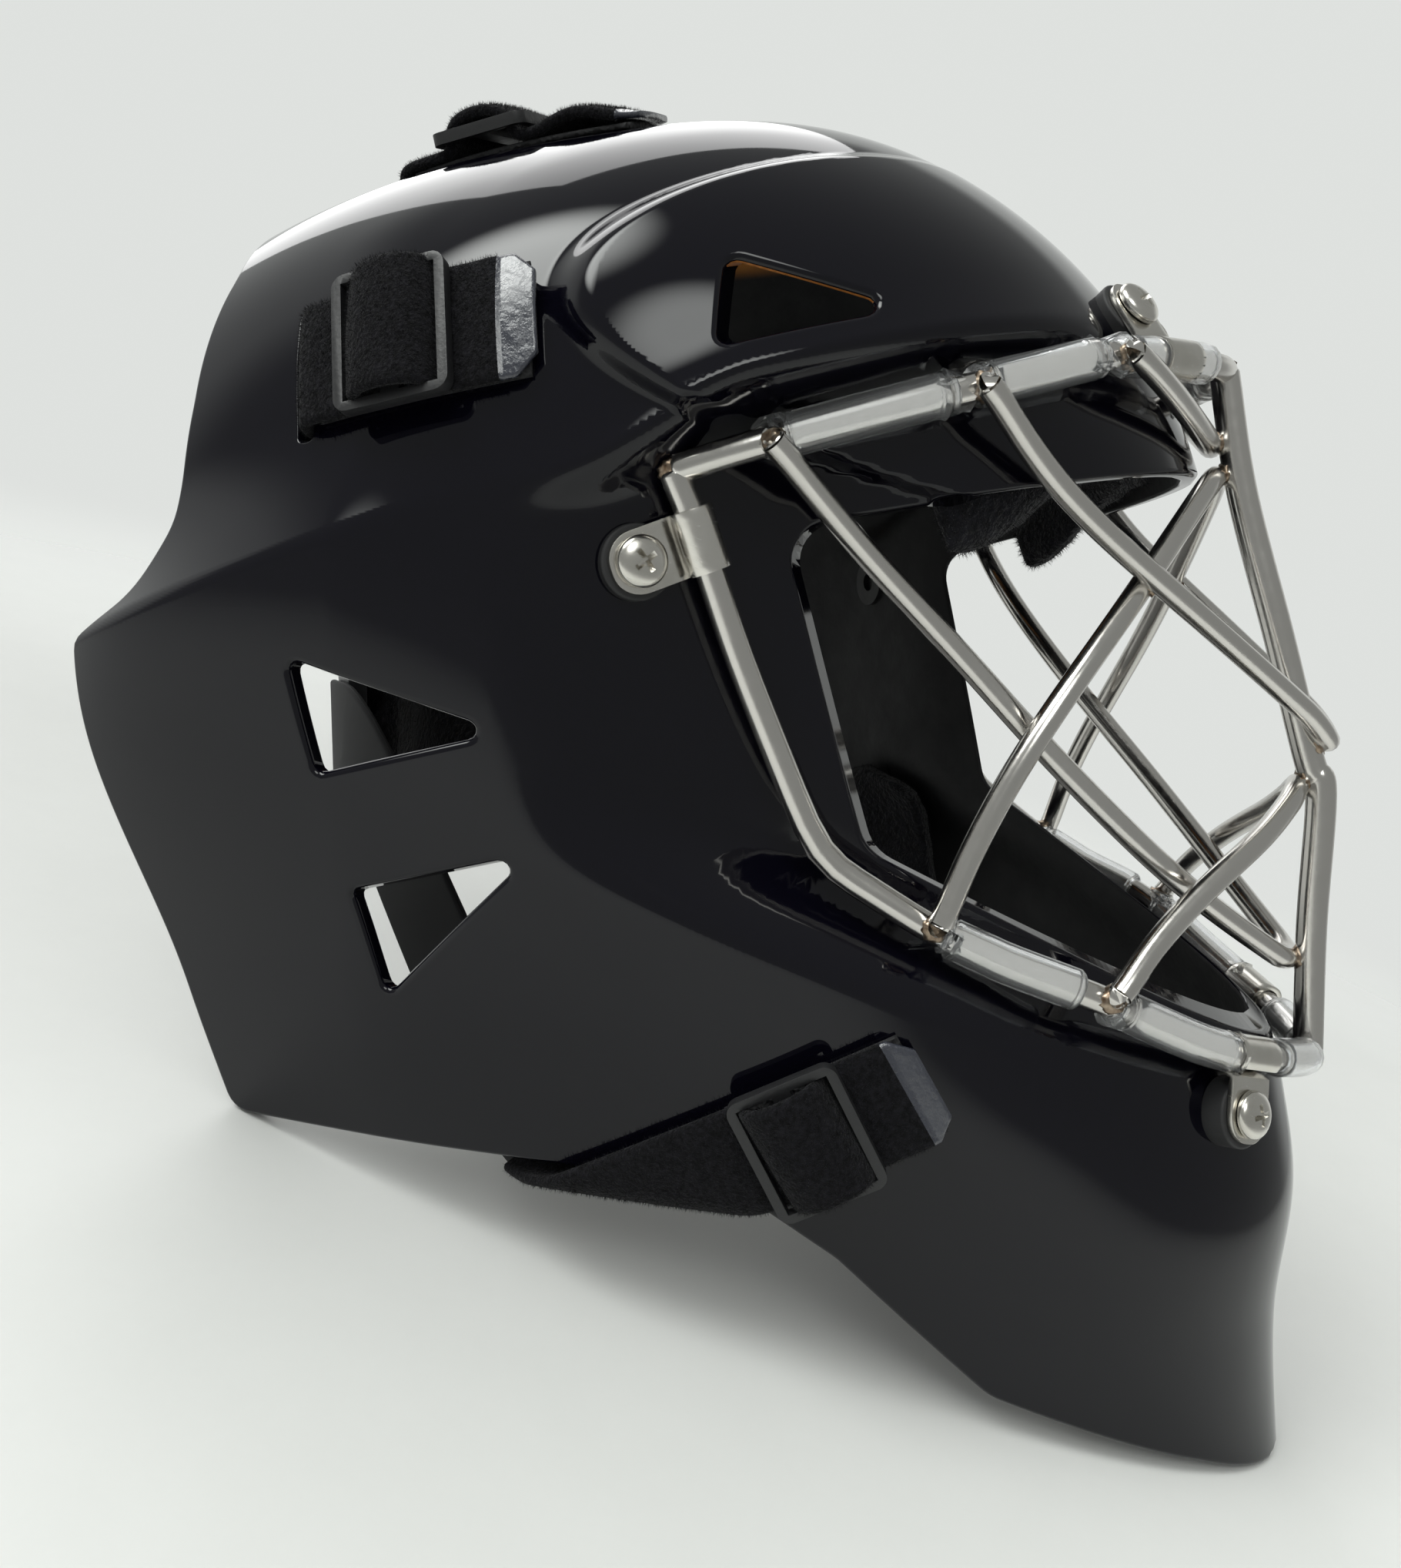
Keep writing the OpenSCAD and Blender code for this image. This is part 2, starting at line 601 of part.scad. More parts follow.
module slide_frame() {
    window = (slide_l - 3*slide_bar)/2;
    translate([0, 0, slide_z])
        difference() {
            translate([-slide_l/2, -slide_w/2, 0])
                cube([slide_l, slide_w, slide_t]);
            for (s = [-1, 1])
                translate([s*(slide_bar + window)/2 - window/2, -slide_w/2 + slide_rail, -1])
                    cube([window, slide_w - 2*slide_rail, slide_t + 2]);
        }
}

// A flat band between two places, with its width along wa and wb
module ribbon(a, b, wa, wb, w, t) {
    na = unit(cross(b - a, wa));
    nb = unit(cross(b - a, wb));
    points = [
        for (e = [[a, wa, na], [b, wb, nb]]) for (c = [[-1, -1], [1, -1], [1, 1], [-1, 1]])
            e[0] + c[0]*w/2*unit(e[1]) + c[1]*t/2*e[2]];
    polyhedron(points, [
        [0, 1, 2], [0, 2, 3], [4, 6, 5], [4, 7, 6], [0, 4, 5], [0, 5, 1],
        [1, 5, 6], [1, 6, 2], [2, 6, 7], [2, 7, 3], [3, 7, 4], [3, 4, 0]]);
}

// Backplate: an upright arc about an axis inside the head
plate_y = 36*ky;
plate_low = -45*k_down;
plate_half = plate_span/2;
elastic_t = 1.8;
elastic_gap = 0.3;
function plate_edge(angle, r, z) = [-r*sin(angle), plate_y + r*cos(angle), z];
module plate_arc(outer, t, low, high) {
    translate([0, plate_y, low])
        rotate(90 - plate_half)
            rotate_extrude(angle = plate_span, $fn = 96)
                translate([outer - t, 0]) square([t, high - low]);
}

// Pieces

module shell() {
    color("#1b1c20") rest() difference() {
        resize([0, 0, 0]) difference() {
            intersection() {
                layer(0, shell_wall);
                across() polygon(EDGE);
            }
            across() polygon(FACE);
            for (v = VENTS) across() polygon(v);
            for (side = ["right", "left"]) on_side(side) {
                multmatrix(side_slot_frame)
                    cube([slot_w, strap_w + slot_room, 40], center = true);
                multmatrix(top_slot_frame)
                    cube([slot_w, strap_w + slot_room, 40], center = true);
            }
        }
        at_clips() {
            cylinder(d = barrel_d + 2*bore_room, h = 30, center = true);
            translate([0, 0, -seat_sink]) cylinder(d = washer_d + 1, h = 10);
            translate([0, 0, -nut_seat - 10]) cylinder(d = nut_d + 1, h = 10);
        }
    }
}

module cage_top_wire() { color("silver") rest() tube(top_path, wire_d); }
module cage_lower_wire() { color("silver") rest() tube(lower_path, wire_d); }
module cage_centre_bar() { color("silver") rest() tube(bar_path, bar_d); }
module cage_vee_upper() { color("silver") rest() tube(vee_upper, vee_d); }
module cage_vee_middle() { color("silver") rest() tube(vee_middle, vee_d); }
module cage_vee_brow() { color("silver") rest() tube(vee_brow, vee_d); }
module cage_vee_lower() { color("silver") rest() tube(vee_lower, vee_d); }
module cage_vee_chin() { color("silver") rest() tube(vee_chin, vee_d); }

module wire_tubes(path, list, side) {
    n = len(path) - 1;
    color("lightgray") rest()
        for (s = list) {
            ends = side == "left" ? [n - s[1], n - s[0]] : s;
            sleeve(path, ends[0], ends[1], tube_d, wire_d + 2*tube_room);
        }
}
module top_tubes_right() { wire_tubes(top_path, TOP_TUBES, "right"); }
module top_tubes_left() { wire_tubes(top_path, TOP_TUBES, "left"); }
module lower_tubes_right() { wire_tubes(lower_path, LOWER_TUBES, "right"); }
module lower_tubes_left() { wire_tubes(lower_path, LOWER_TUBES, "left"); }

module temple_clip_right() { color("gainsboro") rest() clip(0, "right"); }
module temple_clip_left() { color("gainsboro") rest() clip(0, "left"); }
module brow_clip_right() { color("gainsboro") rest() clip(1, "right"); }
module brow_clip_left() { color("gainsboro") rest() clip(1, "left"); }
module chin_clip_right() { color("gainsboro") rest() clip(2, "right"); }
module chin_clip_left() { color("gainsboro") rest() clip(2, "left"); }

module clip_washers() {
    color("#202020") rest() at_clips()
        translate([0, 0, -seat_sink])
            difference() {
                cylinder(d = washer_d, h = $clip[2]);
                cylinder(d = screw_d + 2*bore_room, h = 40, center = true);
            }
}

module clip_screws() {
    slot_d = head_d*0.55;
    slot_t = head_d*0.12;
    color("gainsboro") rest() at_clips() {
        head_z = strip_z($clip) + clip_t/2 + lay;
        difference() {
            union() {
                translate([0, 0, -screw_l]) cylinder(d = screw_d, h = screw_l + head_z + head_h/2);
                translate([0, 0, head_z]) cylinder(d = head_d, h = head_h*0.55);
                translate([0, 0, head_z + head_h*0.55])
                    cylinder(d1 = head_d, d2 = head_d*0.6, h = head_h*0.45);
            }
            for (a = [0, 90]) rotate(a)
                translate([-slot_d/2, -slot_t/2, head_z + head_h*0.4]) cube([slot_d, slot_t, head_h]);
        }
    }
}

module clip_nuts() {
    barrel_top = -seat_sink - lay;
    color("gray") rest() at_clips() difference() {
        union() {
            translate([0, 0, -nut_seat - nut_t]) cylinder(d = nut_d, h = nut_t);
            translate([0, 0, -nut_seat - nut_t]) cylinder(d = barrel_d, h = nut_seat + nut_t + barrel_top);
        }
        cylinder(d = screw_d + 2*bore_room, h = 40, center = true);
    }
}

module side_strap(side) {
    back = norm(side_slot - side_slide);
    color("#222222") rest() on_side(side) resize([0, 0, 0]) {
        intersection() {
            layer(-strap_high, -strap_low);
            side_strip(side_slide, side_angle, back + strap_t/2, side_end, strap_w);
        }
        multmatrix(side_frame) strap_hump();
        multmatrix(side_slot_frame) strap_tongue(strap_w);
    }
}
module side_strap_right() { side_strap("right"); }
module side_strap_left() { side_strap("left"); }

module side_patch(side) {
    back = norm(side_slot - side_slide) - slot_w/2 - 2;
    color("#303030") rest() on_side(side) resize([0, 0, 0]) intersection() {
        layer(-patch_t - lay, -lay);
        side_strip(side_slide, side_angle, back, side_end + 3, strap_w + 4);
    }
}
module side_patch_right() { side_patch("right"); }
module side_patch_left() { side_patch("left"); }
module side_slide_right() { color("#181818") rest() multmatrix(side_frame) slide_frame(); }
module side_slide_left() { color("#181818") rest() on_side("left") multmatrix(side_frame) slide_frame(); }

module top_strap(side) {
    color("#222222") rest() on_side(side) resize([0, 0, 0]) {
        intersection() {
            layer(-strap_high, -strap_low);
            top_strip(top_slot_y - top_slide_y + strap_t/2, top_slide_y - top_end_y, strap_w);
        }
        multmatrix(top_frame) strap_hump();
        multmatrix(top_slot_frame) strap_tongue(strap_w);
    }
}
module top_strap_right() { top_strap("right"); }
module top_strap_left() { top_strap("left"); }

module top_patch(side) {
    back = top_slot_y - top_slide_y - slot_w/2 - 2;
    color("#303030") rest() on_side(side) resize([0, 0, 0]) intersection() {
        layer(-patch_t - lay, -lay);
        top_strip(back, top_slide_y - top_end_y + 2, strap_w);
    }
}
module top_patch_right() { top_patch("right"); }
module top_patch_left() { top_patch("left"); }
module top_slide_right() { color("#181818") rest() multmatrix(top_frame) slide_frame(); }
module top_slide_left() { color("#181818") rest() on_side("left") multmatrix(top_frame) slide_frame(); }

// The jaw strap turns round the shell's lower edge
module jaw_strap(side) {
    turn = strap_t + lay;
    color("#222222") rest() on_side(side) resize([0, 0, 0]) {
        intersection() {
            layer(-strap_high, -strap_low);
            side_strip(jaw_slide, jaw_angle, jaw_tail, jaw_end, strap_w);
            across() offset(r = turn) polygon(EDGE);
        }
        intersection() {
            layer(-strap_high, shell_wall + turn);
            side_strip(jaw_slide, jaw_angle, jaw_tail, jaw_end, strap_w);
            across() difference() {
                offset(r = turn) polygon(EDGE);
                offset(r = lay) polygon(EDGE);
            }
        }
        intersection() {
            layer(shell_wall + lay, shell_wall + turn);
            side_strip(jaw_slide, jaw_angle, jaw_tail, -8, strap_w);
            across() offset(r = turn) polygon(EDGE);
        }
        multmatrix(jaw_frame) strap_hump();
    }
}
module jaw_strap_right() { jaw_strap("right"); }
module jaw_strap_left() { jaw_strap("left"); }

module jaw_patch(side) {
    color("#303030") rest() on_side(side) resize([0, 0, 0]) intersection() {
        layer(-patch_t - lay, -lay);
        side_strip(jaw_slide, jaw_angle, slide_l/2, jaw_end + 3, strap_w + 4);
        across() offset(r = -2) polygon(EDGE);
    }
}
module jaw_patch_right() { jaw_patch("right"); }
module jaw_patch_left() { jaw_patch("left"); }
module jaw_slide_right() { color("#181818") rest() multmatrix(jaw_frame) slide_frame(); }
module jaw_slide_left() { color("#181818") rest() on_side("left") multmatrix(jaw_frame) slide_frame(); }

// Elastic runs from the shell to the edge of the backplate
function local(m, p) = [for (r = m) r[0]*p[0] + r[1]*p[1] + r[2]*p[2] + r[3]];
tongue_end = -shell_wall - 4 - elastic_gap - elastic_t/2;
function seated(edge, away, from, wide) =
    edge + away*(elastic_gap + elastic_t/2*abs(unit(cross(edge - from, wide))*away));
module elastic(side, from, wide, to, to_wide) {
    color("#2a2a2a") rest() on_side(side) ribbon(from, to, wide, to_wide, strap_w, elastic_t);
}
module side_elastic(side) {
    z = 38*k_up;
    edge = plate_edge(plate_half, plate_r - plate_t/2, z);
    away = [-cos(plate_half), -sin(plate_half), 0];
    from = local(side_slot_frame, [0, 0, tongue_end]);
    elastic(side, from, local(side_slot_frame, [0, 1, tongue_end]) - from,
        seated(edge, away, from, [0, 0, 1]), [0, 0, 1]);
}
module side_elastic_right() { side_elastic("right"); }
module side_elastic_left() { side_elastic("left"); }

module top_elastic(side) {
    mid = plate_r - plate_t/2;
    edge = plate_edge(26, mid, plate_low + plate_h);
    along = [cos(26), sin(26), 0];
    from = local(top_slot_frame, [0, 0, tongue_end]);
    elastic(side, from, local(top_slot_frame, [0, 1, tongue_end]) - from,
        seated(edge, [0, 0, 1], from, along), along);
}
module top_elastic_right() { top_elastic("right"); }
module top_elastic_left() { top_elastic("left"); }

module jaw_elastic(side) {
    low = side_at([17, -98]);
    inner = -half_width(low[0], low[1], shell_wall) + strap_t + 2*elastic_t;
    from = [inner, low[0], low[1]];
    edge = plate_edge(plate_half, plate_r - plate_t/2, -26*k_down);
    away = [-cos(plate_half), -sin(plate_half), 0];
    elastic(side, from, [0, sin(jaw_angle), cos(jaw_angle)],
        seated(edge, away, from, [0, 0, 1]), [0, 0, 1]);
}
module jaw_elastic_right() { jaw_elastic("right"); }
module jaw_elastic_left() { jaw_elastic("left"); }

module backplate() {
    color("#26272b") rest() plate_arc(plate_r, plate_t, plate_low, plate_low + plate_h);
}

module backplate_liner() {
    border = 3;
    color("#3a3a3f") rest()
        plate_arc(plate_r - plate_t, liner_t, plate_low + border, plate_low + plate_h - border);
}

// Pads lie on the inside of the shell
module pad(t) {
    resize([0, 0, 0]) intersection() {
        layer(shell_wall + lay, shell_wall + lay + t);
        children();
    }
}

module forehead_pad() {
    color("#77777c") rest() pad(brow_t)
        across() polygon(outline([
            [-18, 30.5, 3], [-41.5, 24.5, 2], [-44.5, 10, 3], [-52, 10, 4], [-66, 24, 6],
            [-110, 40, 0], [-110, 47, 0], [-18, 44, 3]]));
}

module crown_pad() {
    half = 30*kx;
    color("#4a4a50") rest() pad(crown_t)
        translate([-half, -34*ky, 60]) cube([2*half, 92*ky, 60]);
}

module temple_pad(side) {
    color("#4a4a50") rest() on_side(side) pad(temple_t)
        across_right() polygon(outline([[-6, 38, 6], [46, 34, 6], [44, 70, 8], [-6, 70, 8]]));
}
module temple_pad_right() { temple_pad("right"); }
module temple_pad_left() { temple_pad("left"); }

module jaw_pad(side) {
    color("#4a4a50") rest() on_side(side) pad(jaw_t)
        across_right() polygon(outline([[-24, -92, 6], [8, -88, 6], [14, -40, 8], [-16, -46, 8]]));
}
module jaw_pad_right() { jaw_pad("right"); }
module jaw_pad_left() { jaw_pad("left"); }

module chin_cup() {
    low = -160*k_down;
    high = -112*k_down;
    color("#4a4a50") rest() pad(chin_t)
        translate([-100, -150, low]) cube([200, 150 - 74*ky, high - low]);
}

shell();
cage_top_wire();
cage_lower_wire();
cage_centre_bar();
cage_vee_upper();
cage_vee_middle();
cage_vee_brow();
cage_vee_lower();
cage_vee_chin();
top_tubes_right();
top_tubes_left();
lower_tubes_right();
lower_tubes_left();
temple_clip_right();
temple_clip_left();
brow_clip_right();
brow_clip_left();
chin_clip_right();
chin_clip_left();
clip_washers();
clip_screws();
clip_nuts();
side_strap_right();
side_strap_left();
side_patch_right();
side_patch_left();
side_slide_right();
side_slide_left();
top_strap_right();
top_strap_left();
top_patch_right();
top_patch_left();
top_slide_right();
top_slide_left();
jaw_strap_right();
jaw_strap_left();
jaw_patch_right();
jaw_patch_left();
jaw_slide_right();
jaw_slide_left();
side_elastic_right();
side_elastic_left();
top_elastic_right();
top_elastic_left();
jaw_elastic_right();
jaw_elastic_left();
backplate();
backplate_liner();
forehead_pad();
crown_pad();
temple_pad_right();
temple_pad_left();
jaw_pad_right();
jaw_pad_left();
chin_cup();
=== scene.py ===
# %% [markdown]
# # A goalie mask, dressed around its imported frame
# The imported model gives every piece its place, so it is loaded first and never moved.
# The pieces below are drawn as the mask is worn, in millimetres: x to the wearer's left,
# y to the back, z up. One turn and one shift then lay the mask on its chin and rear corners.

# %% Load the frame
import math

import bmesh
import bpy
import numpy as np
from mathutils import Matrix, Vector, kdtree
from mathutils.geometry import delaunay_2d_cdt


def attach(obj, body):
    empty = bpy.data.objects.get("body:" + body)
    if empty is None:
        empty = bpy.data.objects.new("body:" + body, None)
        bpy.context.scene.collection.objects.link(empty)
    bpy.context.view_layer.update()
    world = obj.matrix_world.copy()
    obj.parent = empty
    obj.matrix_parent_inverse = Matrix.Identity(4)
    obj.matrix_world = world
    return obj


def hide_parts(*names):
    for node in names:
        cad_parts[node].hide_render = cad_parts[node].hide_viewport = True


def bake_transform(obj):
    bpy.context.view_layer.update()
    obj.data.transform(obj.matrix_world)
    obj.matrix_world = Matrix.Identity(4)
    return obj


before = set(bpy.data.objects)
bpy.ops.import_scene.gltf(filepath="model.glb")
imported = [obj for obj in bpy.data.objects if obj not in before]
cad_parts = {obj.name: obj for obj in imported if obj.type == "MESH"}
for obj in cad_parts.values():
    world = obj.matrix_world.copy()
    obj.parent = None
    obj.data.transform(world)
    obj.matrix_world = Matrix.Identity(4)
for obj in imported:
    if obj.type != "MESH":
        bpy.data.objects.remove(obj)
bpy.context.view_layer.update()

# %% [markdown]
# The frame's own tilt is known from how the mask rests: chin tip and rear corners on the floor.
# `laid` turns worn millimetres into metres in the frame, for points, and `turned` for directions;
# `worn` goes back. Most pieces are drawn on the right, and `on_side` and `faces_on` mirror them.

# %% From the worn mask to the frame
TILT = math.radians(20.3557)
REST_SHIFT, REST_LIFT = 21.6585, 130.905
REST_PLACE = [0.0, REST_SHIFT, REST_LIFT]
LAY_ARRAY = np.array(Matrix.Rotation(-TILT, 3, "X"))
SIDES = ("right", "left")


def laid(points):
    points = np.asarray(points, float).reshape(-1, 3) @ LAY_ARRAY.T
    return (points + REST_PLACE) / 1000.0


def worn(points):
    return (np.asarray(points) * 1000.0 - REST_PLACE) @ LAY_ARRAY


def turned(directions):
    return np.asarray(directions, float).reshape(-1, 3) @ LAY_ARRAY.T


def unit(v):
    v = np.asarray(v, float)
    return v / np.maximum(np.linalg.norm(v, axis=-1, keepdims=True), 1e-12)


def flip(points):
    return np.asarray(points, float) * [-1.0, 1.0, 1.0]


def lengths_along(path):
    return np.concatenate(([0.0], np.cumsum(np.linalg.norm(np.diff(path, axis=0), axis=1))))


def on_side(points, side):
    return flip(points) if side == "left" else points


def faces_on(faces, side):
    return [face[::-1] for face in faces] if side == "left" else faces


def deselect():
    if bpy.context.mode != "OBJECT":
        bpy.ops.object.mode_set(mode="OBJECT")
    bpy.ops.object.select_all(action="DESELECT")


def choose(piece):
    deselect()
    piece.select_set(True)
    bpy.context.view_layer.objects.active = piece
    return piece


def new_piece(name, points, faces, materials, normals=None):
    """A mesh from worn millimetres, smooth all over, with its own normals where they are given."""
    mesh = bpy.data.meshes.new(name)
    mesh.from_pydata(laid(points).tolist(), [], [list(map(int, f)) for f in faces])
    mesh.polygons.foreach_set("use_smooth", [True] * len(mesh.polygons))
    for material in materials:
        mesh.materials.append(material)
    piece = bpy.data.objects.new(name, mesh)
    bpy.context.scene.collection.objects.link(piece)
    if normals is not None:
        mesh.normals_split_custom_set_from_vertices(turned(unit(normals)).tolist())
    return piece


def carried(piece, slot, *nodes, body="mask"):
    """Rides a piece on its body and lets it stand for its CAD nodes. Its slot is not used."""
    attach(piece, body)
    for node in nodes:
        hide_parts(node)
    print(f"{piece.name}: {len(piece.data.polygons)} faces on {body}")
    return piece


print("tilt at rest:", round(math.degrees(TILT), 2), "degrees")

# %% [markdown]
# Some steps come back for many pieces: reading points, joining, cutting, applying modifiers, turning
# the faces outward, and shading smooth across all but the sharper edges.

# %% Steps that come back
def spots_of(mesh):
    spots = np.zeros(len(mesh.vertices) * 3)
    mesh.vertices.foreach_get("co", spots)
    return spots.reshape(-1, 3)


def taken(piece):
    """The points and faces of a piece, which is then removed."""
    points, faces = spots_of(piece.data), [list(p.vertices) for p in piece.data.polygons]
    bpy.data.objects.remove(piece, do_unlink=True)
    return points, faces


def smooth_but_for(degrees):
    bpy.ops.object.shade_smooth_by_angle(angle=math.radians(degrees))


def joined(pieces, name):
    """Joins pieces into the first of them."""
    deselect()
    for piece in pieces:
        piece.select_set(True)
    bpy.context.view_layer.objects.active = pieces[0]
    bpy.ops.object.join()
    piece = bpy.context.active_object
    piece.name = piece.data.name = name
    return piece


def bevel(width, segments, degrees):
    return ("BEVEL", {"width": width, "segments": segments, "limit_method": "ANGLE",
                      "angle_limit": math.radians(degrees)})


def baked(piece, *modifiers):
    """Applies modifiers that are given as (kind, settings)."""
    choose(piece)
    for number, (kind, settings) in enumerate(modifiers):
        modifier = piece.modifiers.new(f"step{number}", kind)
        for key, value in settings.items():
            setattr(modifier, key, value)
        bpy.ops.object.modifier_apply(modifier=modifier.name)
    return piece


def outward_faces(piece):
    choose(piece)
    bpy.ops.object.mode_set(mode="EDIT")
    bpy.ops.mesh.select_all(action="SELECT")
    bpy.ops.mesh.remove_doubles(threshold=1e-6)
    bpy.ops.mesh.normals_make_consistent(inside=False)
    bpy.ops.object.mode_set(mode="OBJECT")
    return piece


def cut_by(piece, tool):
    baked(piece, ("BOOLEAN", {"operation": "DIFFERENCE", "object": tool, "solver": "EXACT"}))
    bpy.data.objects.remove(tool, do_unlink=True)


# %% [markdown]
# The camera comes early, so that every later piece is judged in the photograph's own view.
# It stands close to the right side, a little above the floor, and is rolled with the mask.

# %% Camera
camera_data = bpy.data.cameras.new("camera")
camera_data.sensor_fit = "HORIZONTAL"
camera_data.sensor_width = 36.0
camera_data.lens = 36.59
camera_data.clip_start = 0.01
camera = bpy.data.objects.new("camera", camera_data)
bpy.context.scene.collection.objects.link(camera)
VIEW_RIGHT = (0.3734, -0.8698, 0.3227)
VIEW_UP = (0.1103, 0.3870, 0.9155)
VIEW_BACK = (-0.9211, -0.3062, 0.2404)
VIEW_PLACE = (-0.3200, -0.0768, 0.1674)
view_turn = Matrix((VIEW_RIGHT, VIEW_UP, VIEW_BACK)).transposed()
camera.matrix_world = Matrix.Translation(VIEW_PLACE) @ view_turn.to_4x4()
bpy.context.scene.camera = camera
bpy.context.scene.view_settings.view_transform = "Standard"
print("camera at", tuple(round(v, 3) for v in camera.location))

# %% [markdown]
# Finishes are node materials that read Object coordinates or an attribute of the mesh.
# `finish` starts each one from a Principled shader; `add` puts in a node and sets its sockets.

# %% Tools for finishes
def finish(name, color, roughness, metallic=0.0, **sockets):
    material = bpy.data.materials.new(name)
    material.use_nodes = True
    shader = material.node_tree.nodes["Principled BSDF"]
    shader.inputs["Base Color"].default_value = (*color, 1.0)
    shader.inputs["Roughness"].default_value = roughness
    shader.inputs["Metallic"].default_value = metallic
    for socket, value in sockets.items():
        shader.inputs[socket.replace("_", " ")].default_value = value
    return material


def add(material, kind, settings=None, **inputs):
    node = material.node_tree.nodes.new("ShaderNode" + kind)
    for key, value in (settings or {}).items():
        setattr(node, key, value)
    for key, value in inputs.items():
        socket = node.inputs[int(key[1:])] if key[0] == "i" and key[1:].isdigit() else node.inputs[key]
        if isinstance(value, bpy.types.NodeSocket):
            material.node_tree.links.new(value, socket)
        else:
            socket.default_value = value
    return node


def into(material, socket, output):
    material.node_tree.links.new(output, material.node_tree.nodes["Principled BSDF"].inputs[socket])


def place_of(material):
    return add(material, "TexCoord").outputs["Object"]


def grain(material, scale, detail=4.0, rough=0.55, where=None):
    return add(material, "TexNoise", Vector=where or place_of(material), Scale=scale,
               Detail=detail, Roughness=rough).outputs["Fac"]


def ramp(material, factor, *stops):
    node = add(material, "ValToRGB", i0=factor)
    elements = node.color_ramp.elements
    while len(elements) < len(stops):
        elements.new(0.5)
    for element, (at, color) in zip(elements, stops):
        element.position = at
        element.color = (*color, 1.0) if len(color) == 3 else color
    return node.outputs["Color"]


def span(material, factor, low, high):
    return add(material, "MapRange", i0=factor, i3=low, i4=high).outputs[0]


def bump(material, height, strength, distance):
    node = add(material, "Bump", Strength=strength, Distance=distance, Height=height)
    into(material, "Normal", node.outputs["Normal"])


def dulled(material, low, high, scale, detail=4.0, rough=0.55, where=None):
    """Lets the roughness wander between two values."""
    into(material, "Roughness", span(material, grain(material, scale, detail, rough, where), low, high))


def coloured(material, factor, *stops):
    into(material, "Base Color", ramp(material, factor, *stops))


def blended(material, factor, one, two, **settings):
    node = add(material, "Mix", {"data_type": "RGBA", **settings}, i0=factor, i6=one, i7=two)
    return node.outputs[2]


def computed(material, operation, one, two):
    return add(material, "Math", {"operation": operation}, i0=one, i1=two).outputs[0]


def waves(material, direction, where, scale, distortion):
    return add(material, "TexWave", {"bands_direction": direction}, Vector=where, Scale=scale,
               Distortion=distortion).outputs["Fac"]


def along_way(material, vector, way):
    """How far a place or a direction goes along a way."""
    return add(material, "VectorMath", {"operation": "DOT_PRODUCT"}, i0=vector, i1=way).outputs["Value"]


def step_up(material, value, start, end, low=0.0, high=1.0):
    """A smooth step from low to high while a value goes from start to end."""
    return add(material, "MapRange", {"interpolation_type": "SMOOTHSTEP"}, i0=value, i1=start, i2=end,
               i3=low, i4=high).outputs[0]


print("tools for finishes are ready")

# %% [markdown]
# The shell is a thick black lacquer over a moulded composite. The lacquer is a mirror with a
# little waviness and a few dull smears. The inside is lined in black up to where the paint stops,
# and above that it is bare amber. The woven laminate shows in the cut of the temple vents.

# %% Shell finishes
lacquer = finish("black_lacquer", (0.0018, 0.0016, 0.0040), 0.035, Specular_IOR_Level=0.35)
dulled(lacquer, 0.015, 0.085, 38.0, 6.0, 0.62)
bump(lacquer, grain(lacquer, 55.0, 1.0), 0.06, 0.0006)

LINING, BARE_AMBER = (0.006, 0.006, 0.007), (0.55, 0.21, 0.03)
PAINT_STOPS, PAINT_FADE = 0.2195, 0.003
lining = finish("black_lining", LINING, 0.7)
dulled(lining, 0.55, 0.85, 120.0)
upward = along_way(lining, place_of(lining), (0.0, math.sin(TILT), math.cos(TILT)))
unpainted = step_up(lining, upward, PAINT_STOPS, PAINT_STOPS + PAINT_FADE)
coloured(lining, unpainted, (0.0, LINING), (1.0, BARE_AMBER))
bump(lining, grain(lining, 260.0), 0.4, 0.0006)

laminate = finish("amber_laminate", (0.32, 0.11, 0.018), 0.42)
warp, weft = (waves(laminate, way, place_of(laminate), 180.0, 0.6) for way in "YZ")
cloth = computed(laminate, "MULTIPLY", warp, weft)
resin = blended(laminate, grain(laminate, 40.0), (0.24, 0.075, 0.012, 1.0), (0.42, 0.17, 0.035, 1.0))
threads = ramp(laminate, cloth, (0.0, (0.45, 0.4, 0.35)), (0.6, (1.0, 1.0, 1.0)))
into(laminate, "Base Color", blended(laminate, 0.45, resin, threads, blend_type="MULTIPLY"))
bump(laminate, cloth, 0.4, 0.0004)
print("shell finishes:", lacquer.name, lining.name, laminate.name)

# %% [markdown]
# The shell is one moulded skin. Seen from the side it is a flat outline, and its half width is a
# height over that side view: lofted sections, a ridge that runs from the flared jaw corner to the
# forehead, a raised pod at the temple and a recess in the cheek for the cage. A subdivision cage
# would take many loops to hold those lines, so the heights are written as formulas instead.

# %% The shell's height over the side view
CROWN, CROWN_Y, WALL = 103.5, -2.0, 4.0
# Level, front, half width, place of the widest point, back, power of the front's curve
STATIONS = np.array([
    (10, -91.5, 104.5, 50, 173, 1.55), (-30, -97, 103, 55, 200, 1.55), (-70, -103, 96, 60, 230, 1.6),
    (-100, -110.5, 88, 62, 250, 1.75), (-120, -113.5, 82, 62, 250, 1.85), (-150, -111, 72, 58, 250, 2.2),
    (-190, -113.5, 58, 50, 250, 2.5)], float)
FLARE, POD_RISE, CHEEK_RECESS, RIDGE_ROUND, BRIM = 13.0, 6.2, 21.5, 1.6, 2.8
BRIM_ROUND, BRIM_DROP = 2.4, 2.2
CHEEK_LOW, CHEEK_SLOPE = 44.0, 0.45


def smooth(t):
    t = np.clip(t, 0.0, 1.0)
    return t * t * (3.0 - 2.0 * t)


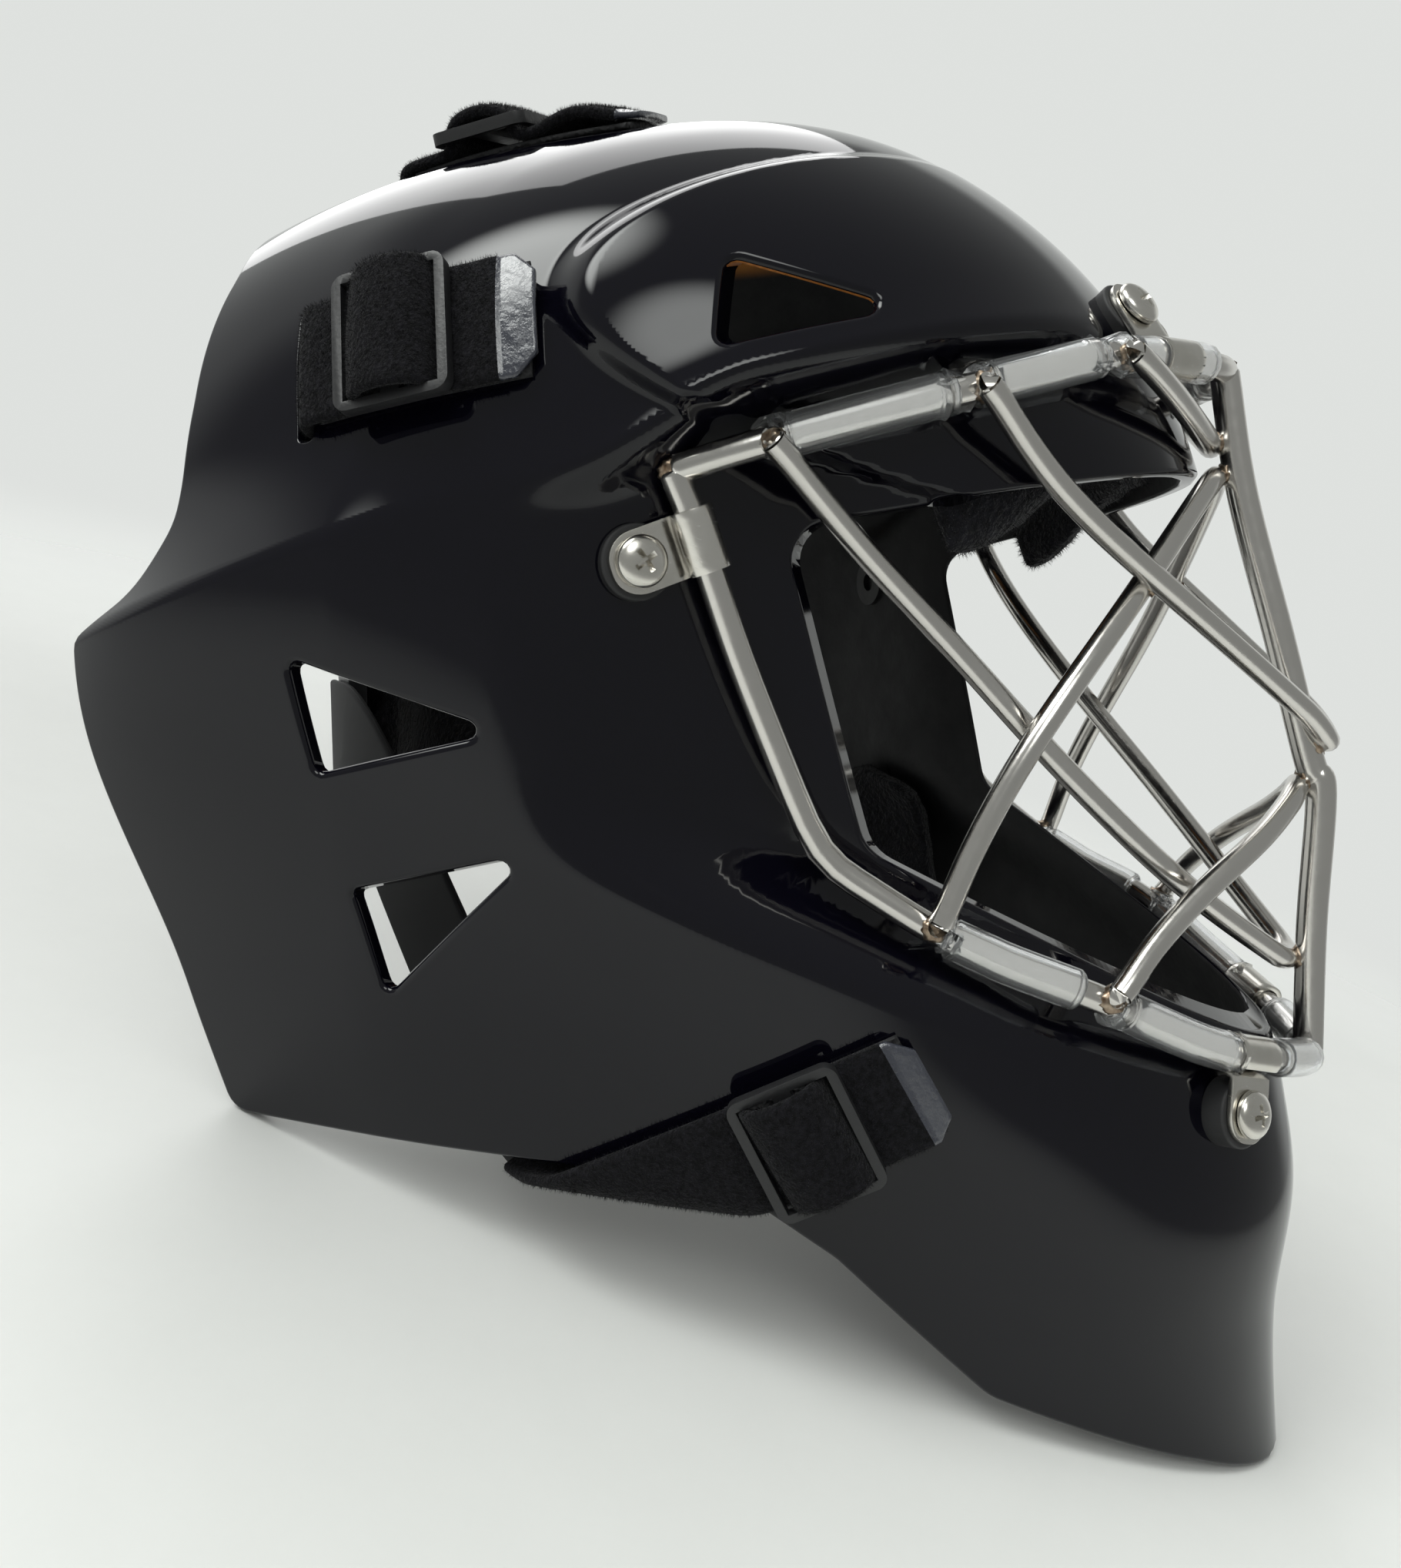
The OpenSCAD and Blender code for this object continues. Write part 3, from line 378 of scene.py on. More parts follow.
def eased_in(t):
    """Like smooth, but without a break in its bend, so that no line shows in the lacquer."""
    t = np.clip(t, 0.0, 1.0)
    return t ** 3 * (t * (6.0 * t - 15.0) + 10.0)


def lofted(z, column):
    heights, values = STATIONS[:, 0], STATIONS[:, column]
    secants = np.diff(values) / np.diff(heights)
    slopes = np.concatenate(([0.0], (secants[:-1] + secants[1:]) / 2, secants[-1:]))
    i = np.clip((heights > z[..., None]).sum(-1) - 1, 0, len(heights) - 2)
    h = heights[i + 1] - heights[i]
    t = (z - heights[i]) / h
    return ((2*t**3 - 3*t**2 + 1) * values[i] + (t**3 - 2*t**2 + t) * h * slopes[i]
            + (3*t**2 - 2*t**3) * values[i + 1] + (t**3 - t**2) * h * slopes[i + 1])


def section(z, inset):
    level, front, half, widest, back, power = STATIONS[0]
    s = np.clip((z - level) / (CROWN - inset - level), 0.0, 0.99999)
    off = lambda p: (1 - s**p) ** (1 / p)
    low = np.minimum(z, level)
    above = z > level
    return (np.where(above, CROWN_Y + (front + inset - CROWN_Y) * off(1.74), lofted(low, 1) + inset),
            np.where(above, CROWN_Y + (back - inset - CROWN_Y) * off(2.36), lofted(low, 4) - inset),
            np.where(above, (half - inset) * off(2.3), lofted(low, 2) - inset),
            np.where(above, CROWN_Y + (widest - CROWN_Y) * off(2.0), lofted(low, 3)),
            np.where(above, power + (2.0 - power) * smooth(1.2 * s), lofted(low, 5)))


def ridge_z(y):
    return -5 + (111 - y) * 0.305 + 7 * smooth((8 - y) / 30)


def cheek_run(y, z):
    """How far a place is past the middle of the cheek's lower slope."""
    return z + CHEEK_LOW - CHEEK_SLOPE * y


def swell(y, z):
    up = z - ridge_z(y)
    brow = step = brim = 0.0
    for k in np.linspace(-1.0, 1.0, 7):
        u = up + k * RIDGE_ROUND
        brow = brow + np.where(u > 0, np.clip(1 - u / 26, 0, 1) ** 2, smooth(1 + u / 75)) / 7
        u = up + BRIM_DROP + k * BRIM_ROUND
        brim = brim + np.where(u > 0, np.clip(1 - u / 12, 0, 1) ** 2, 1.0) / 7
        step = step + smooth(-u / 6) / 7
    flare = FLARE * smooth((y + 15) / 126) * brow
    brim = BRIM * smooth((22 - y) / 30) * brim * smooth((up + 20) / 20)
    pod = POD_RISE * smooth((17 - y - ((z - 57) / 21) ** 2 * 20) / 12)
    cheek = CHEEK_RECESS * smooth((24 - y) / 46) * step * eased_in(cheek_run(y, z) / 22 + 0.5)
    return flare + brim + pod - cheek


def width_squared(y, z, inset):
    """The half width times itself; it goes on below zero past the silhouette."""
    front, back, half, widest, power = section(z, inset)
    ahead = y < widest
    t = np.abs(np.where(ahead, (widest - y) / (widest - front), (y - widest) / (back - widest)))
    return (half + swell(y, z)) ** 2 * (1 - t ** np.where(ahead, power, 2.6))


def half_width(y, z, inset=0.0):
    y, z = np.asarray(y, float), np.asarray(z, float)
    return np.sqrt(np.maximum(0.0, width_squared(y, z, inset)))


def outward(x, y, z, inset=0.0, step=0.04):
    """Directions square to the skin at points with x at or left of the middle."""
    by_y = (width_squared(y + step, z, inset) - width_squared(y - step, z, inset)) / (2 * step)
    by_z = (width_squared(y, z + step, inset) - width_squared(y, z - step, inset)) / (2 * step)
    return unit(np.stack([2 * x, -by_y, -by_z], axis=-1))


print("half width at the widest place:", round(float(half_width(50.0, 10.0)), 1), "mm")

# %% [markdown]
# The side view is laid out on a disc whose rim is the silhouette, where the skin turns over to the
# other side. Equal steps on the disc are about equal steps on the skin, even at the crown.

# %% The disc
DISC_Y, DISC_Z, DISC_FAR = 20.0, -20.0, 235.0
TURNS = np.linspace(-math.pi, math.pi, 2881)


def reach_table(inset):
    low, high = np.zeros_like(TURNS), np.full_like(TURNS, DISC_FAR)
    for _ in range(46):
        middle = (low + high) / 2
        y, z = DISC_Y + middle * np.cos(TURNS), DISC_Z + middle * np.sin(TURNS)
        inside = (width_squared(y, z, inset) > 0) & (z < CROWN - inset)
        low, high = np.where(inside, middle, low), np.where(inside, high, middle)
    return low


REACH = {inset: reach_table(inset) for inset in (0.0, WALL)}


def to_disc(yz, inset):
    turn = np.arctan2(yz[:, 1] - DISC_Z, yz[:, 0] - DISC_Y)
    share = np.hypot(yz[:, 0] - DISC_Y, yz[:, 1] - DISC_Z) / np.interp(turn, TURNS, REACH[inset])
    far = np.arcsin(np.clip(share, 0, 1)) * 2 / math.pi
    return np.stack([far * np.cos(turn), far * np.sin(turn)], axis=-1)


def from_disc(ab, inset):
    turn = np.arctan2(ab[:, 1], ab[:, 0])
    far = np.sin(np.hypot(ab[:, 0], ab[:, 1]) * math.pi / 2) * np.interp(turn, TURNS, REACH[inset])
    return np.stack([DISC_Y + far * np.cos(turn), DISC_Z + far * np.sin(turn)], axis=-1)


print("silhouette reach:", round(REACH[0.0].min(), 1), "to", round(REACH[0.0].max(), 1), "mm")

# %% [markdown]
# The outlines are straight runs with rounded corners: the rear and lower edge, the face opening,
# three vents a side and the strap slots. They are sampled evenly, so that the outside, the rounded
# rim and the inside can share the same steps.

# %% Outlines in the side view
def rounded(corners, closed, arc=10):
    points = []
    n = len(corners)
    for i, (y, z, r) in enumerate(corners):
        b = np.array([y, z], float)
        if r == 0 or (not closed and i in (0, n - 1)):
            points.append(b)
            continue
        a, c = (np.array(corners[j][:2], float) for j in ((i - 1) % n, (i + 1) % n))
        u, v = unit(a - b), unit(c - b)
        half = math.acos(float(u @ v)) / 2
        middle = b + unit(u + v) * r / math.sin(half)
        start, end = b + u * r / math.tan(half) - middle, b + v * r / math.tan(half) - middle
        a0 = math.atan2(start[1], start[0])
        turn = (math.atan2(end[1], end[0]) - a0 + 3 * math.pi) % (2 * math.pi) - math.pi
        points += [middle + r * np.array([math.cos(a0 + turn * k / arc), math.sin(a0 + turn * k / arc)])
                   for k in range(arc + 1)]
    return np.array(points + points[:1] if closed else points)


def resampled(path, count):
    run = lengths_along(path)
    at = np.linspace(0.0, run[-1], count)
    return np.stack([np.interp(at, run, path[:, k]) for k in range(path.shape[1])], axis=-1)


def sideways(path, closed):
    """Directions square to a path in the side view."""
    if closed:
        ahead = np.roll(path[:-1], -1, axis=0) - np.roll(path[:-1], 1, axis=0)
        ahead = np.concatenate([ahead, ahead[:1]])
    else:
        ahead = np.gradient(path, axis=0)
    return unit(np.stack([-ahead[:, 1], ahead[:, 0]], axis=-1))


VENT_R, CHIN_Z = 1.75, -181.5
CHIN_Y = float(section(np.array(CHIN_Z), 0.0)[0])
# Corners are y, z and radius.
EDGE = rounded([
    (103, 130, 0), (100, 90, 6), (90, 66, 14), (89, 40, 30), (90.5, 17, 14), (97, 4, 14), (111, -4.5, 4),
    (96.5, -105, 5), (32, -106.5, 20), (-12, -109, 12), (-31.5, -124, 10), (-59, -154, 12),
    (-98, -173, 20), (CHIN_Y, CHIN_Z, 0), (-150, CHIN_Z - 0.5, 0)], False)
FACE = rounded([(-160, 41.6, 0), (-20, 15.3, 7), (-34.5, -45, 9), (-160, -117.3, 0)], False)
VENTS = [rounded(corners, True) for corners in (
    [(-15, 61, VENT_R), (-43, 53, VENT_R), (-15.5, 45, VENT_R)],
    [(59, -8, VENT_R), (21.8, -21, VENT_R), (57, -29.5, VENT_R)],
    [(54.5, -52, VENT_R), (18.6, -43.6, VENT_R), (51, -73.5, VENT_R)])]


def skin_height(x, y):
    """Height at which the crown is x wide."""
    low, high = np.full_like(x, 30.0), np.full_like(x, CROWN - 0.05)
    for _ in range(40):
        middle = (low + high) / 2
        wider = half_width(y, middle) > x
        low, high = np.where(wider, middle, low), np.where(wider, high, middle)
    return (low + high) / 2


STRAP_W, SLOT_W, SLOT_PLAY, SLOT_R = 22.0, 3.4, 3.0, 1.2
CORNERS = ((-1, -1), (1, -1), (1, 1), (-1, 1))
SIDE_ANGLE, JAW_ANGLE = math.radians(10.0), math.radians(26.0)
SIDE_SLOT, SIDE_SLIDE, JAW_SLIDE = (61.0, 43.0), (40.3, 46.6), (-27.2, -96.5)
TOP_X, TOP_SLOT_Y, TOP_SLIDE_Y, TOP_LEAN = 36.0, 74.5, 54.0, 0.97


def side_slot_outline():
    along = np.array([-math.cos(SIDE_ANGLE), math.sin(SIDE_ANGLE)])
    up = np.array([along[1], -along[0]])
    corners = [np.array(SIDE_SLOT) + sx * SLOT_W / 2 * along + sy * (STRAP_W + SLOT_PLAY) / 2 * up
               for sx, sy in CORNERS]
    return rounded([(*corner, SLOT_R) for corner in corners], True, 5)


def top_slot_outline():
    wide = STRAP_W * TOP_LEAN + SLOT_PLAY
    corners = [(TOP_X + sx * wide / 2, TOP_SLOT_Y + sy * SLOT_W / 2, SLOT_R) for sx, sy in CORNERS]
    x, y = resampled(rounded(corners, True, 5), 81).T
    return np.stack([y, skin_height(x, y)], axis=-1)


SLOTS = [side_slot_outline(), top_slot_outline()]
print("outlines:", 2 + len(VENTS) + len(SLOTS), "chin tip at", round(CHIN_Y, 1), CHIN_Z)

# %% [markdown]
# A rim row is an outline moved back from the edge, lifted onto the outer or inner skin and sunk a
# little. Rows at growing angles give the rim a rounded lip, which is what catches the thin bright
# lines around the vents and the face opening.

# %% Rim rows
FAR_FRONT, INNER_LIP = -400.0, 0.8


def inside(points, polygon):
    y, z = points[:, 0], points[:, 1]
    found = np.zeros(len(points), bool)
    for (y0, z0), (y1, z1) in zip(polygon, np.roll(polygon, -1, axis=0)):
        if z0 != z1:
            found ^= ((z0 > z) != (z1 > z)) & (y < (y1 - y0) * (z - z0) / (z1 - z0) + y0)
    return found


def in_silhouette(yz, inset):
    return (width_squared(yz[:, 0], yz[:, 1], inset) > 0) & (yz[:, 1] < CROWN - inset)


def clipped(yz, away, inset):
    """The run of a path that lies inside the silhouette, ending exactly on it."""
    keep = np.flatnonzero(in_silhouette(yz, inset))
    first, last = keep[0], keep[-1]

    def crossing(out, into_it):
        a, b = yz[out], yz[into_it]
        for _ in range(50):
            middle = (a + b) / 2
            if in_silhouette(middle[None], inset)[0]:
                b = middle
            else:
                a = middle
        return b
    yz = np.concatenate([[crossing(first - 1, first)], yz[first:last + 1], [crossing(last + 1, last)]])
    away = np.concatenate([away[first:first + 1], away[first:last + 1], away[last:last + 1]])
    return yz, away


def rim_row(outline, shift, inset, depth, angle):
    path, away, closed, count = outline["path"], outline["away"], outline["closed"], outline["count"]
    yz = path + away * shift
    if not closed:
        yz, away = clipped(yz, away, inset)
    both = resampled(np.concatenate([yz, away], axis=1), count + 1 if closed else count)
    both = both[:-1] if closed else both
    yz, away = both[:, :2], unit(both[:, 2:])
    x = -half_width(yz[:, 0], yz[:, 1], inset)
    if not closed:
        x[0] = x[-1] = 0.0
    out = outward(x, yz[:, 0], yz[:, 1], inset)
    reach = np.stack([np.zeros(len(yz)), away[:, 0], away[:, 1]], axis=-1)
    reach = unit(reach - (reach * out).sum(1, keepdims=True) * out)
    side = 1.0 if inset == 0.0 else -1.0
    points = np.stack([x, yz[:, 0], yz[:, 1]], axis=-1) - side * depth * out
    return {"yz": yz, "points": points,
            "normals": side * math.cos(angle) * out + math.sin(angle) * reach}


def closed_in_front(path):
    """Closes an open path far in front of the mask."""
    return np.concatenate([path, [[FAR_FRONT, path[-1][1]], [FAR_FRONT, path[0][1]]]])


def outlined(path, closed, step, lip, opening):
    """An outline ready for its rim: evenly stepped, with directions out of the material."""
    length = np.linalg.norm(np.diff(path, axis=0), axis=1).sum()
    path = resampled(path, int(length / 0.35) + 1)
    away = sideways(path, closed)
    middle = len(path) // 2
    probe = (path[middle] + away[middle] * 0.5)[None]
    if closed:
        wrong = not inside(probe, path)[0]
    else:
        wrong = inside(probe, closed_in_front(path))[0] != opening
    away = -away if wrong else away
    count = int(length / step)
    return {"path": path, "away": away, "closed": closed, "count": count, "lip": lip}


RIM_STEP = 1.5
OUTLINES = [outlined(EDGE, False, RIM_STEP * 1.2, 1.1, False),
            outlined(FACE, False, RIM_STEP * 1.5, 1.2, True)]
OUTLINES += [outlined(vent, True, 1.0, 1.3, True) for vent in VENTS]
OUTLINES += [outlined(slot, True, 0.9, 0.4, True) for slot in SLOTS]
for outline in OUTLINES:
    lip, back = outline["lip"], min(outline["lip"], INNER_LIP)
    angles = [math.radians(a) for a in (0, 18, 36, 54, 72, 90)]
    outer = [rim_row(outline, -lip * (1 - math.sin(a)), 0.0, lip * (1 - math.cos(a)), a) for a in angles]
    inner = [rim_row(outline, -back * (1 - math.sin(a)), WALL, back * (1 - math.cos(a)), a)
             for a in angles[::-2]]
    inner.append(rim_row(outline, -back, WALL, 0.0, 0.0))
    outline["rows"] = outer + inner
print("rims:", [(o["count"], len(o["rows"])) for o in OUTLINES])

# %% [markdown]
# Each skin is a net of triangles between the rims. Points are spread on the disc, with extra rows
# along the ridge, the step under the brow and the cheek's lower slope, and closer points at the pod.
# A constrained Delaunay net joins them. The directions square to the skin come from the formula, so
# that the lacquer mirrors cleanly.

# %% Nets of the two skins
RIDGE_ROWS = np.concatenate([[-12.4, -11.6, -10.9], np.arange(-10.3, 2.2, 0.3), np.arange(2.6, 11.0, 0.7)])
POD_LOW, POD_HIGH = (-8.0, 24.0), (24.0, 84.0)
CHEEK_ROWS = np.arange(-11.2, -1.4, 0.45)
RIDGE_BAND, CHEEK_BAND = (-12.9, 11.2), (-11.8, -0.9)
NET_REACH, RIM_GAP, ROW_GAP, BORDER_GAP = 188.0, 0.55, 0.4, 0.45


def seam_points(start, end, inset, step):
    turns = [math.atan2(p[1] - DISC_Z, p[0] - DISC_Y) for p in (start, end)]
    fine = np.linspace(turns[0], turns[1], 2000)
    far = np.interp(fine, TURNS, REACH[inset])
    path = np.stack([DISC_Y + far * np.cos(fine), DISC_Z + far * np.sin(fine)], axis=-1)
    length = np.linalg.norm(np.diff(path, axis=0), axis=1).sum()
    return resampled(path, int(length / step) + 1)[1:-1]


def in_material(yz, inset):
    keep = np.ones(len(yz), bool)
    for number, outline in enumerate(OUTLINES):
        row = outline["lip"] if inset == 0.0 else min(outline["lip"], INNER_LIP)
        path = outline["path"] - outline["away"] * row
        found = inside(yz, path if outline["closed"] else closed_in_front(path))
        keep &= found if number == 0 else ~found
    return keep


def net_border(inset):
    """The outlines and the two seams between them, their links, and which points are on the seam."""
    rows = [outline["rows"][0 if inset == 0.0 else -1]["yz"] for outline in OUTLINES]
    edge, face = rows[:2]
    runs = rows + [seam_points(edge[0], face[0], inset, RIM_STEP),
                   seam_points(face[-1], edge[-1], inset, RIM_STEP)]
    links, ids, start = [], [], 0
    for number, run in enumerate(runs):
        own = np.arange(start, start + len(run))
        links += list(zip(own[:-1], own[1:]))
        if 2 <= number < len(rows):
            links.append((own[-1], own[0]))
        ids.append(own)
        start += len(run)
    edge, face, upper, lower = ids[0], ids[1], ids[-2], ids[-1]
    links += [(edge[0], upper[0]), (upper[-1], face[0]), (face[-1], lower[0]), (lower[-1], edge[-1])]
    seam = np.concatenate([upper, lower, [edge[0], edge[-1], face[0], face[-1]]])
    return np.concatenate(runs), links, ids[:len(rows)], seam


def close_rows(inset, spacing):
    """Rows of points along the ridge and, outside, along the cheek's lower slope."""
    ys = np.arange(-100.0, 109.0, spacing)
    ups = RIDGE_ROWS if inset == 0.0 else RIDGE_ROWS[::2]
    rows = [(y, float(ridge_z(y)) + up) for y in ys for up in ups]
    if inset == 0.0:
        cheek_ys = ys[(ys > -96) & (ys < 20)]
        rows += [(y, CHEEK_SLOPE * y - CHEEK_LOW + run) for y in cheek_ys for run in CHEEK_ROWS]
    rows = np.array(rows)
    return to_disc(rows[in_silhouette(rows, inset)], inset)


def spread_points(inset, h):
    """An even lattice on the disc, closer at the pod outside, that leaves room for the close rows."""
    axis = np.arange(-1.0, 1.0, h)
    lattice = np.stack(np.meshgrid(axis, axis, indexing="ij"), axis=-1).reshape(-1, 2)
    spread = lattice[np.hypot(*lattice.T) < 1 - RIM_GAP * h]
    yz = from_disc(spread, inset)
    if inset == 0.0:
        half = lattice + h / 2
        fine = np.concatenate([half, half - [h / 2, 0], half - [0, h / 2]])
        fine = fine[np.hypot(*fine.T) < 1 - RIM_GAP * h]
        fine_yz = from_disc(fine, inset)
        at_pod = ((fine_yz > POD_LOW) & (fine_yz < POD_HIGH)).all(axis=1)
        spread, yz = np.concatenate([spread, fine[at_pod]]), np.concatenate([yz, fine_yz[at_pod]])
    y, z = yz.T
    up, run = z - ridge_z(y), cheek_run(y, z)
    on_ridge = (up >= RIDGE_BAND[0]) & (up <= RIDGE_BAND[1]) & (y <= 110)
    on_cheek = (run > CHEEK_BAND[0]) & (run < CHEEK_BAND[1]) & (y < 21) & (inset == 0.0)
    return spread[~on_ridge & ~on_cheek]


def skin_net(inset, spacing):
    """Points of a skin, directions square to it, triangles, and the ids of each outline."""
    h = spacing / NET_REACH
    border, links, ids, seam = net_border(inset)
    border_disc = to_disc(border, inset)
    border_disc[seam] = unit(border_disc[seam])
    rows = close_rows(inset, spacing)
    free = np.concatenate([rows[np.hypot(*rows.T) < 1 - ROW_GAP * h], spread_points(inset, h)])
    free = free[in_material(from_disc(free, inset), inset)]
    tree = kdtree.KDTree(len(border_disc))
    for i, p in enumerate(border_disc):
        tree.insert((*p, 0.0), i)
    tree.balance()
    free = free[[tree.find((*p, 0.0))[2] > BORDER_GAP * h for p in free]]
    disc = np.concatenate([border_disc, free])
    done = delaunay_2d_cdt([Vector(p) for p in disc], links, [], 0, 1e-9)
    origin = [source[0] if source else -1 for source in done[3]]
    net = np.array([[origin[v] for v in f] for f in done[2] if len(f) == 3])
    net = net[(net >= 0).all(1)]
    net = net[in_material(from_disc(disc[net].mean(1), inset), inset)]
    a, b, c = (disc[net[:, k]] for k in range(3))
    turn = (b[:, 0] - a[:, 0]) * (c[:, 1] - a[:, 1]) - (b[:, 1] - a[:, 1]) * (c[:, 0] - a[:, 0])
    solid = np.abs(turn) > 1e-12
    net, turn = net[solid], turn[solid]
    wrong = (turn > 0) == (inset == 0.0)
    net[wrong] = net[wrong][:, ::-1]
    y, z = np.concatenate([border, from_disc(free, inset)]).T
    x = -half_width(y, z, inset)
    x[seam] = 0.0
    return np.stack([x, y, z], axis=-1), outward(x, y, z, inset), net, ids


outer_net = skin_net(0.0, 1.3)
inner_net = skin_net(WALL, 3.2)
print("triangles a side: outside", len(outer_net[2]), "inside", len(inner_net[2]))

# %% [markdown]
# The right half is the two nets and the rims between them. Mirrored on the middle plane and joined
# at the seam, it is one closed shell: lacquer outside and on the rims, the lining inside, and the
# laminate where the cut of the temple vents looks down.

# %% Shell
TEMPLE_VENT = 2
OUTSIDE, CUT, INSIDE = 0, 1, 2
points, normals, faces, kinds = [outer_net[0], inner_net[0]], [outer_net[1], -inner_net[1]], [], []
faces += outer_net[2].tolist()
kinds += [OUTSIDE] * len(outer_net[2])
shift = len(outer_net[0])
faces += (inner_net[2] + shift).tolist()
kinds += [INSIDE] * len(inner_net[2])
total = shift + len(inner_net[0])
for number, outline in enumerate(OUTLINES):
    ids = [np.asarray(outer_net[3][number])]
    for row in outline["rows"][1:-1]:
        points.append(row["points"])
        normals.append(row["normals"])
        ids.append(np.arange(total, total + len(row["points"])))
        total += len(row["points"])
    ids.append(np.asarray(inner_net[3][number]) + shift)
    stacked, aimed = np.concatenate(points), np.concatenate(normals)
    for step, (low, high) in enumerate(zip(ids[:-1], ids[1:])):
        following = np.roll(np.arange(len(low)), -1) if outline["closed"] else np.arange(1, len(low))
        present = np.arange(len(following))
        quads = np.stack([low[present], low[following], high[following], high[present]], axis=-1)
        middle = len(quads) // 2
        q = stacked[quads[middle]]
        square = np.cross(q[1] - q[0], q[3] - q[0])
        if square @ (aimed[quads[middle][0]] + aimed[quads[middle][3]]) < 0:
            quads = quads[:, ::-1]
        faces += quads.tolist()
        if number == TEMPLE_VENT:
            looks_down = aimed[quads].mean(axis=1)[:, 2] < -0.5
            kinds += np.where(looks_down & (step >= 4), CUT, OUTSIDE if step < 6 else INSIDE).tolist()
        else:
            kinds += [OUTSIDE if step < len(ids) - 3 else INSIDE] * len(quads)
points, normals = np.concatenate(points), np.concatenate(normals)
on_seam = points[:, 0] > -1e-9
points[on_seam, 0] = 0.0
other = np.where(on_seam, np.arange(len(points)), 0)
other[~on_seam] = len(points) + np.arange((~on_seam).sum())
all_points = np.concatenate([points, flip(points[~on_seam])])
level_normals = np.where(on_seam[:, None], normals * [0, 1, 1], normals)
all_normals = np.concatenate([level_normals, flip(normals[~on_seam])])
all_faces = faces + [[int(other[v]) for v in f[::-1]] for f in faces]
below = laid(all_points)[:, 2] < 0.0
all_points[below] -= np.outer(laid(all_points[below])[:, 2] * 1000.0, LAY_ARRAY[2])
shell = new_piece("shell_skin", all_points, all_faces, [lacquer, laminate, lining], all_normals)
shell.data.polygons.foreach_set("material_index", kinds + kinds)
carried(shell, "shell_lacquer", "shell")

# %% [markdown]
# The cage is bent from polished stainless wire. One wire arches over the brow, one runs down the
# posts and round the chin, a thicker bar closes the middle, and five vees lie across the opening.
# Wires are curves with a round bevel, as they would be drawn by hand, turned into meshes at the end.

# %% Steel
steel = finish("polished_steel", (0.62, 0.60, 0.57), 0.16, 1.0)
dulled(steel, 0.10, 0.30, 420.0, 3.0, 0.6)
heat = add(steel, "Attribute", {"attribute_name": "heat"}).outputs["Fac"]
into(steel, "Base Color", blended(steel, heat, (0.62, 0.60, 0.57, 1.0), (0.20, 0.13, 0.08, 1.0)))
bump(steel, grain(steel, 900.0, 2.0), 0.05, 0.0002)

bead_steel = finish("weld_bead", (0.24, 0.17, 0.11), 0.34, 1.0)
coloured(bead_steel, grain(bead_steel, 700.0), (0.3, (0.13, 0.085, 0.055)), (0.7, (0.42, 0.34, 0.26)))
print("steel finishes:", steel.name, bead_steel.name)

# %% [markdown]
# The bends of each wire are given points, as the right half from its outer end to the middle.
# A smooth curve runs through them, and a little easing takes the ripple out of the long legs. The
# side posts of the lower wire are straight runs with short bends.

# %% Wire paths
WIRE_D, VEE_D, BAR_D, WELD_BITE, VEE_START = 5.5, 4.8, 6.2, 0.5, 1.0
BEND_STEPS = 12
TOP = np.array([
    (-84.5, -5, 25), (-80, -19.5, 29.5), (-72, -36, 34.5), (-62, -52, 39.5), (-51, -63, 43.5),
    (-38, -73.5, 47.5), (-21, -84, 49), (0, -92.5, 49.5)], float)
LOWER = np.array([
    (-84.5, -5, 25), (-82, -8.5, 14.5), (-77, -14.5, -7.5), (-70, -28, -45), (-63, -47, -58),
    (-58, -60, -64.5), (-51.5, -77, -71.5), (-35.5, -96, -83), (-18, -108.5, -89), (0, -115, -92)], float)
BAR = np.array([
    (0, -92.5, 49.5), (0, -97, 25), (0, -105.5, -5), (0, -112.5, -30.5), (0, -115, -37),
    (0, -114.5, -65), (0, -115, -92)], float)


def through(points, steps=BEND_STEPS):
    q = np.concatenate([[2 * points[0] - points[1]], points, [2 * points[-1] - points[-2]]])
    t = (np.arange(steps) / steps)[:, None]
    runs = [0.5 * (2*b + (c - a)*t + (2*a - 5*b + 4*c - d)*t**2 + (3*b - a - 3*c + d)*t**3)
            for a, b, c, d in zip(q[:-3], q[1:-2], q[2:-1], q[3:])]
    return np.concatenate(runs + [points[-1:]])


def mirrored(half):
    return np.concatenate([half, flip(half[-2::-1])])


def eased(path, rounds, keep):
    """Takes ripple out of a path, but for the points that keep marks."""
    path = path.copy()
    hold = keep(path)
    hold[0] = hold[-1] = True
    for _ in range(rounds):
        middle = (path[:-2] + path[2:]) / 2
        path[1:-1] = np.where(hold[1:-1, None], path[1:-1], middle)
    return path


def straightened(path, points, first, last, rounds=4):
    """Straight runs with short bends between two of the points that a path goes through."""
    run = np.arange(first * BEND_STEPS, last * BEND_STEPS + 1)
    at = run / BEND_STEPS
    straight = np.stack([np.interp(at, np.arange(len(points)), points[:, k]) for k in range(3)], axis=-1)
    path = path.copy()
    path[run] = eased(straight, rounds, lambda p: np.zeros(len(p), bool))
    return path


bar_path = through(BAR)
lower_points = mirrored(LOWER)
lower_path = through(lower_points)
for first in (1, len(lower_points) - 6):
    lower_path = straightened(lower_path, lower_points, first, first + 4)


def bar_y(z):
    return float(np.interp(z, bar_path[::-1, 2], bar_path[::-1, 1]))


def vee(foot, out, bends, height, behind):
    out = unit(out)
    start = foot + out * ((WIRE_D + VEE_D) / 2 - WELD_BITE)
    bends = np.array(bends, float)
    away = unit(bends[0] - start)
    middle = [0, bar_y(height) + behind * ((VEE_D + BAR_D) / 2 - 2 * WELD_BITE), height]
    ends = [start + away * VEE_START, start + away * WIRE_D * 0.9 + out * WELD_BITE]
    half = np.concatenate([ends, bends, [middle]])
    return eased(through(mirrored(half)), 40, lambda p: np.abs(p[:, 0]) < 9)


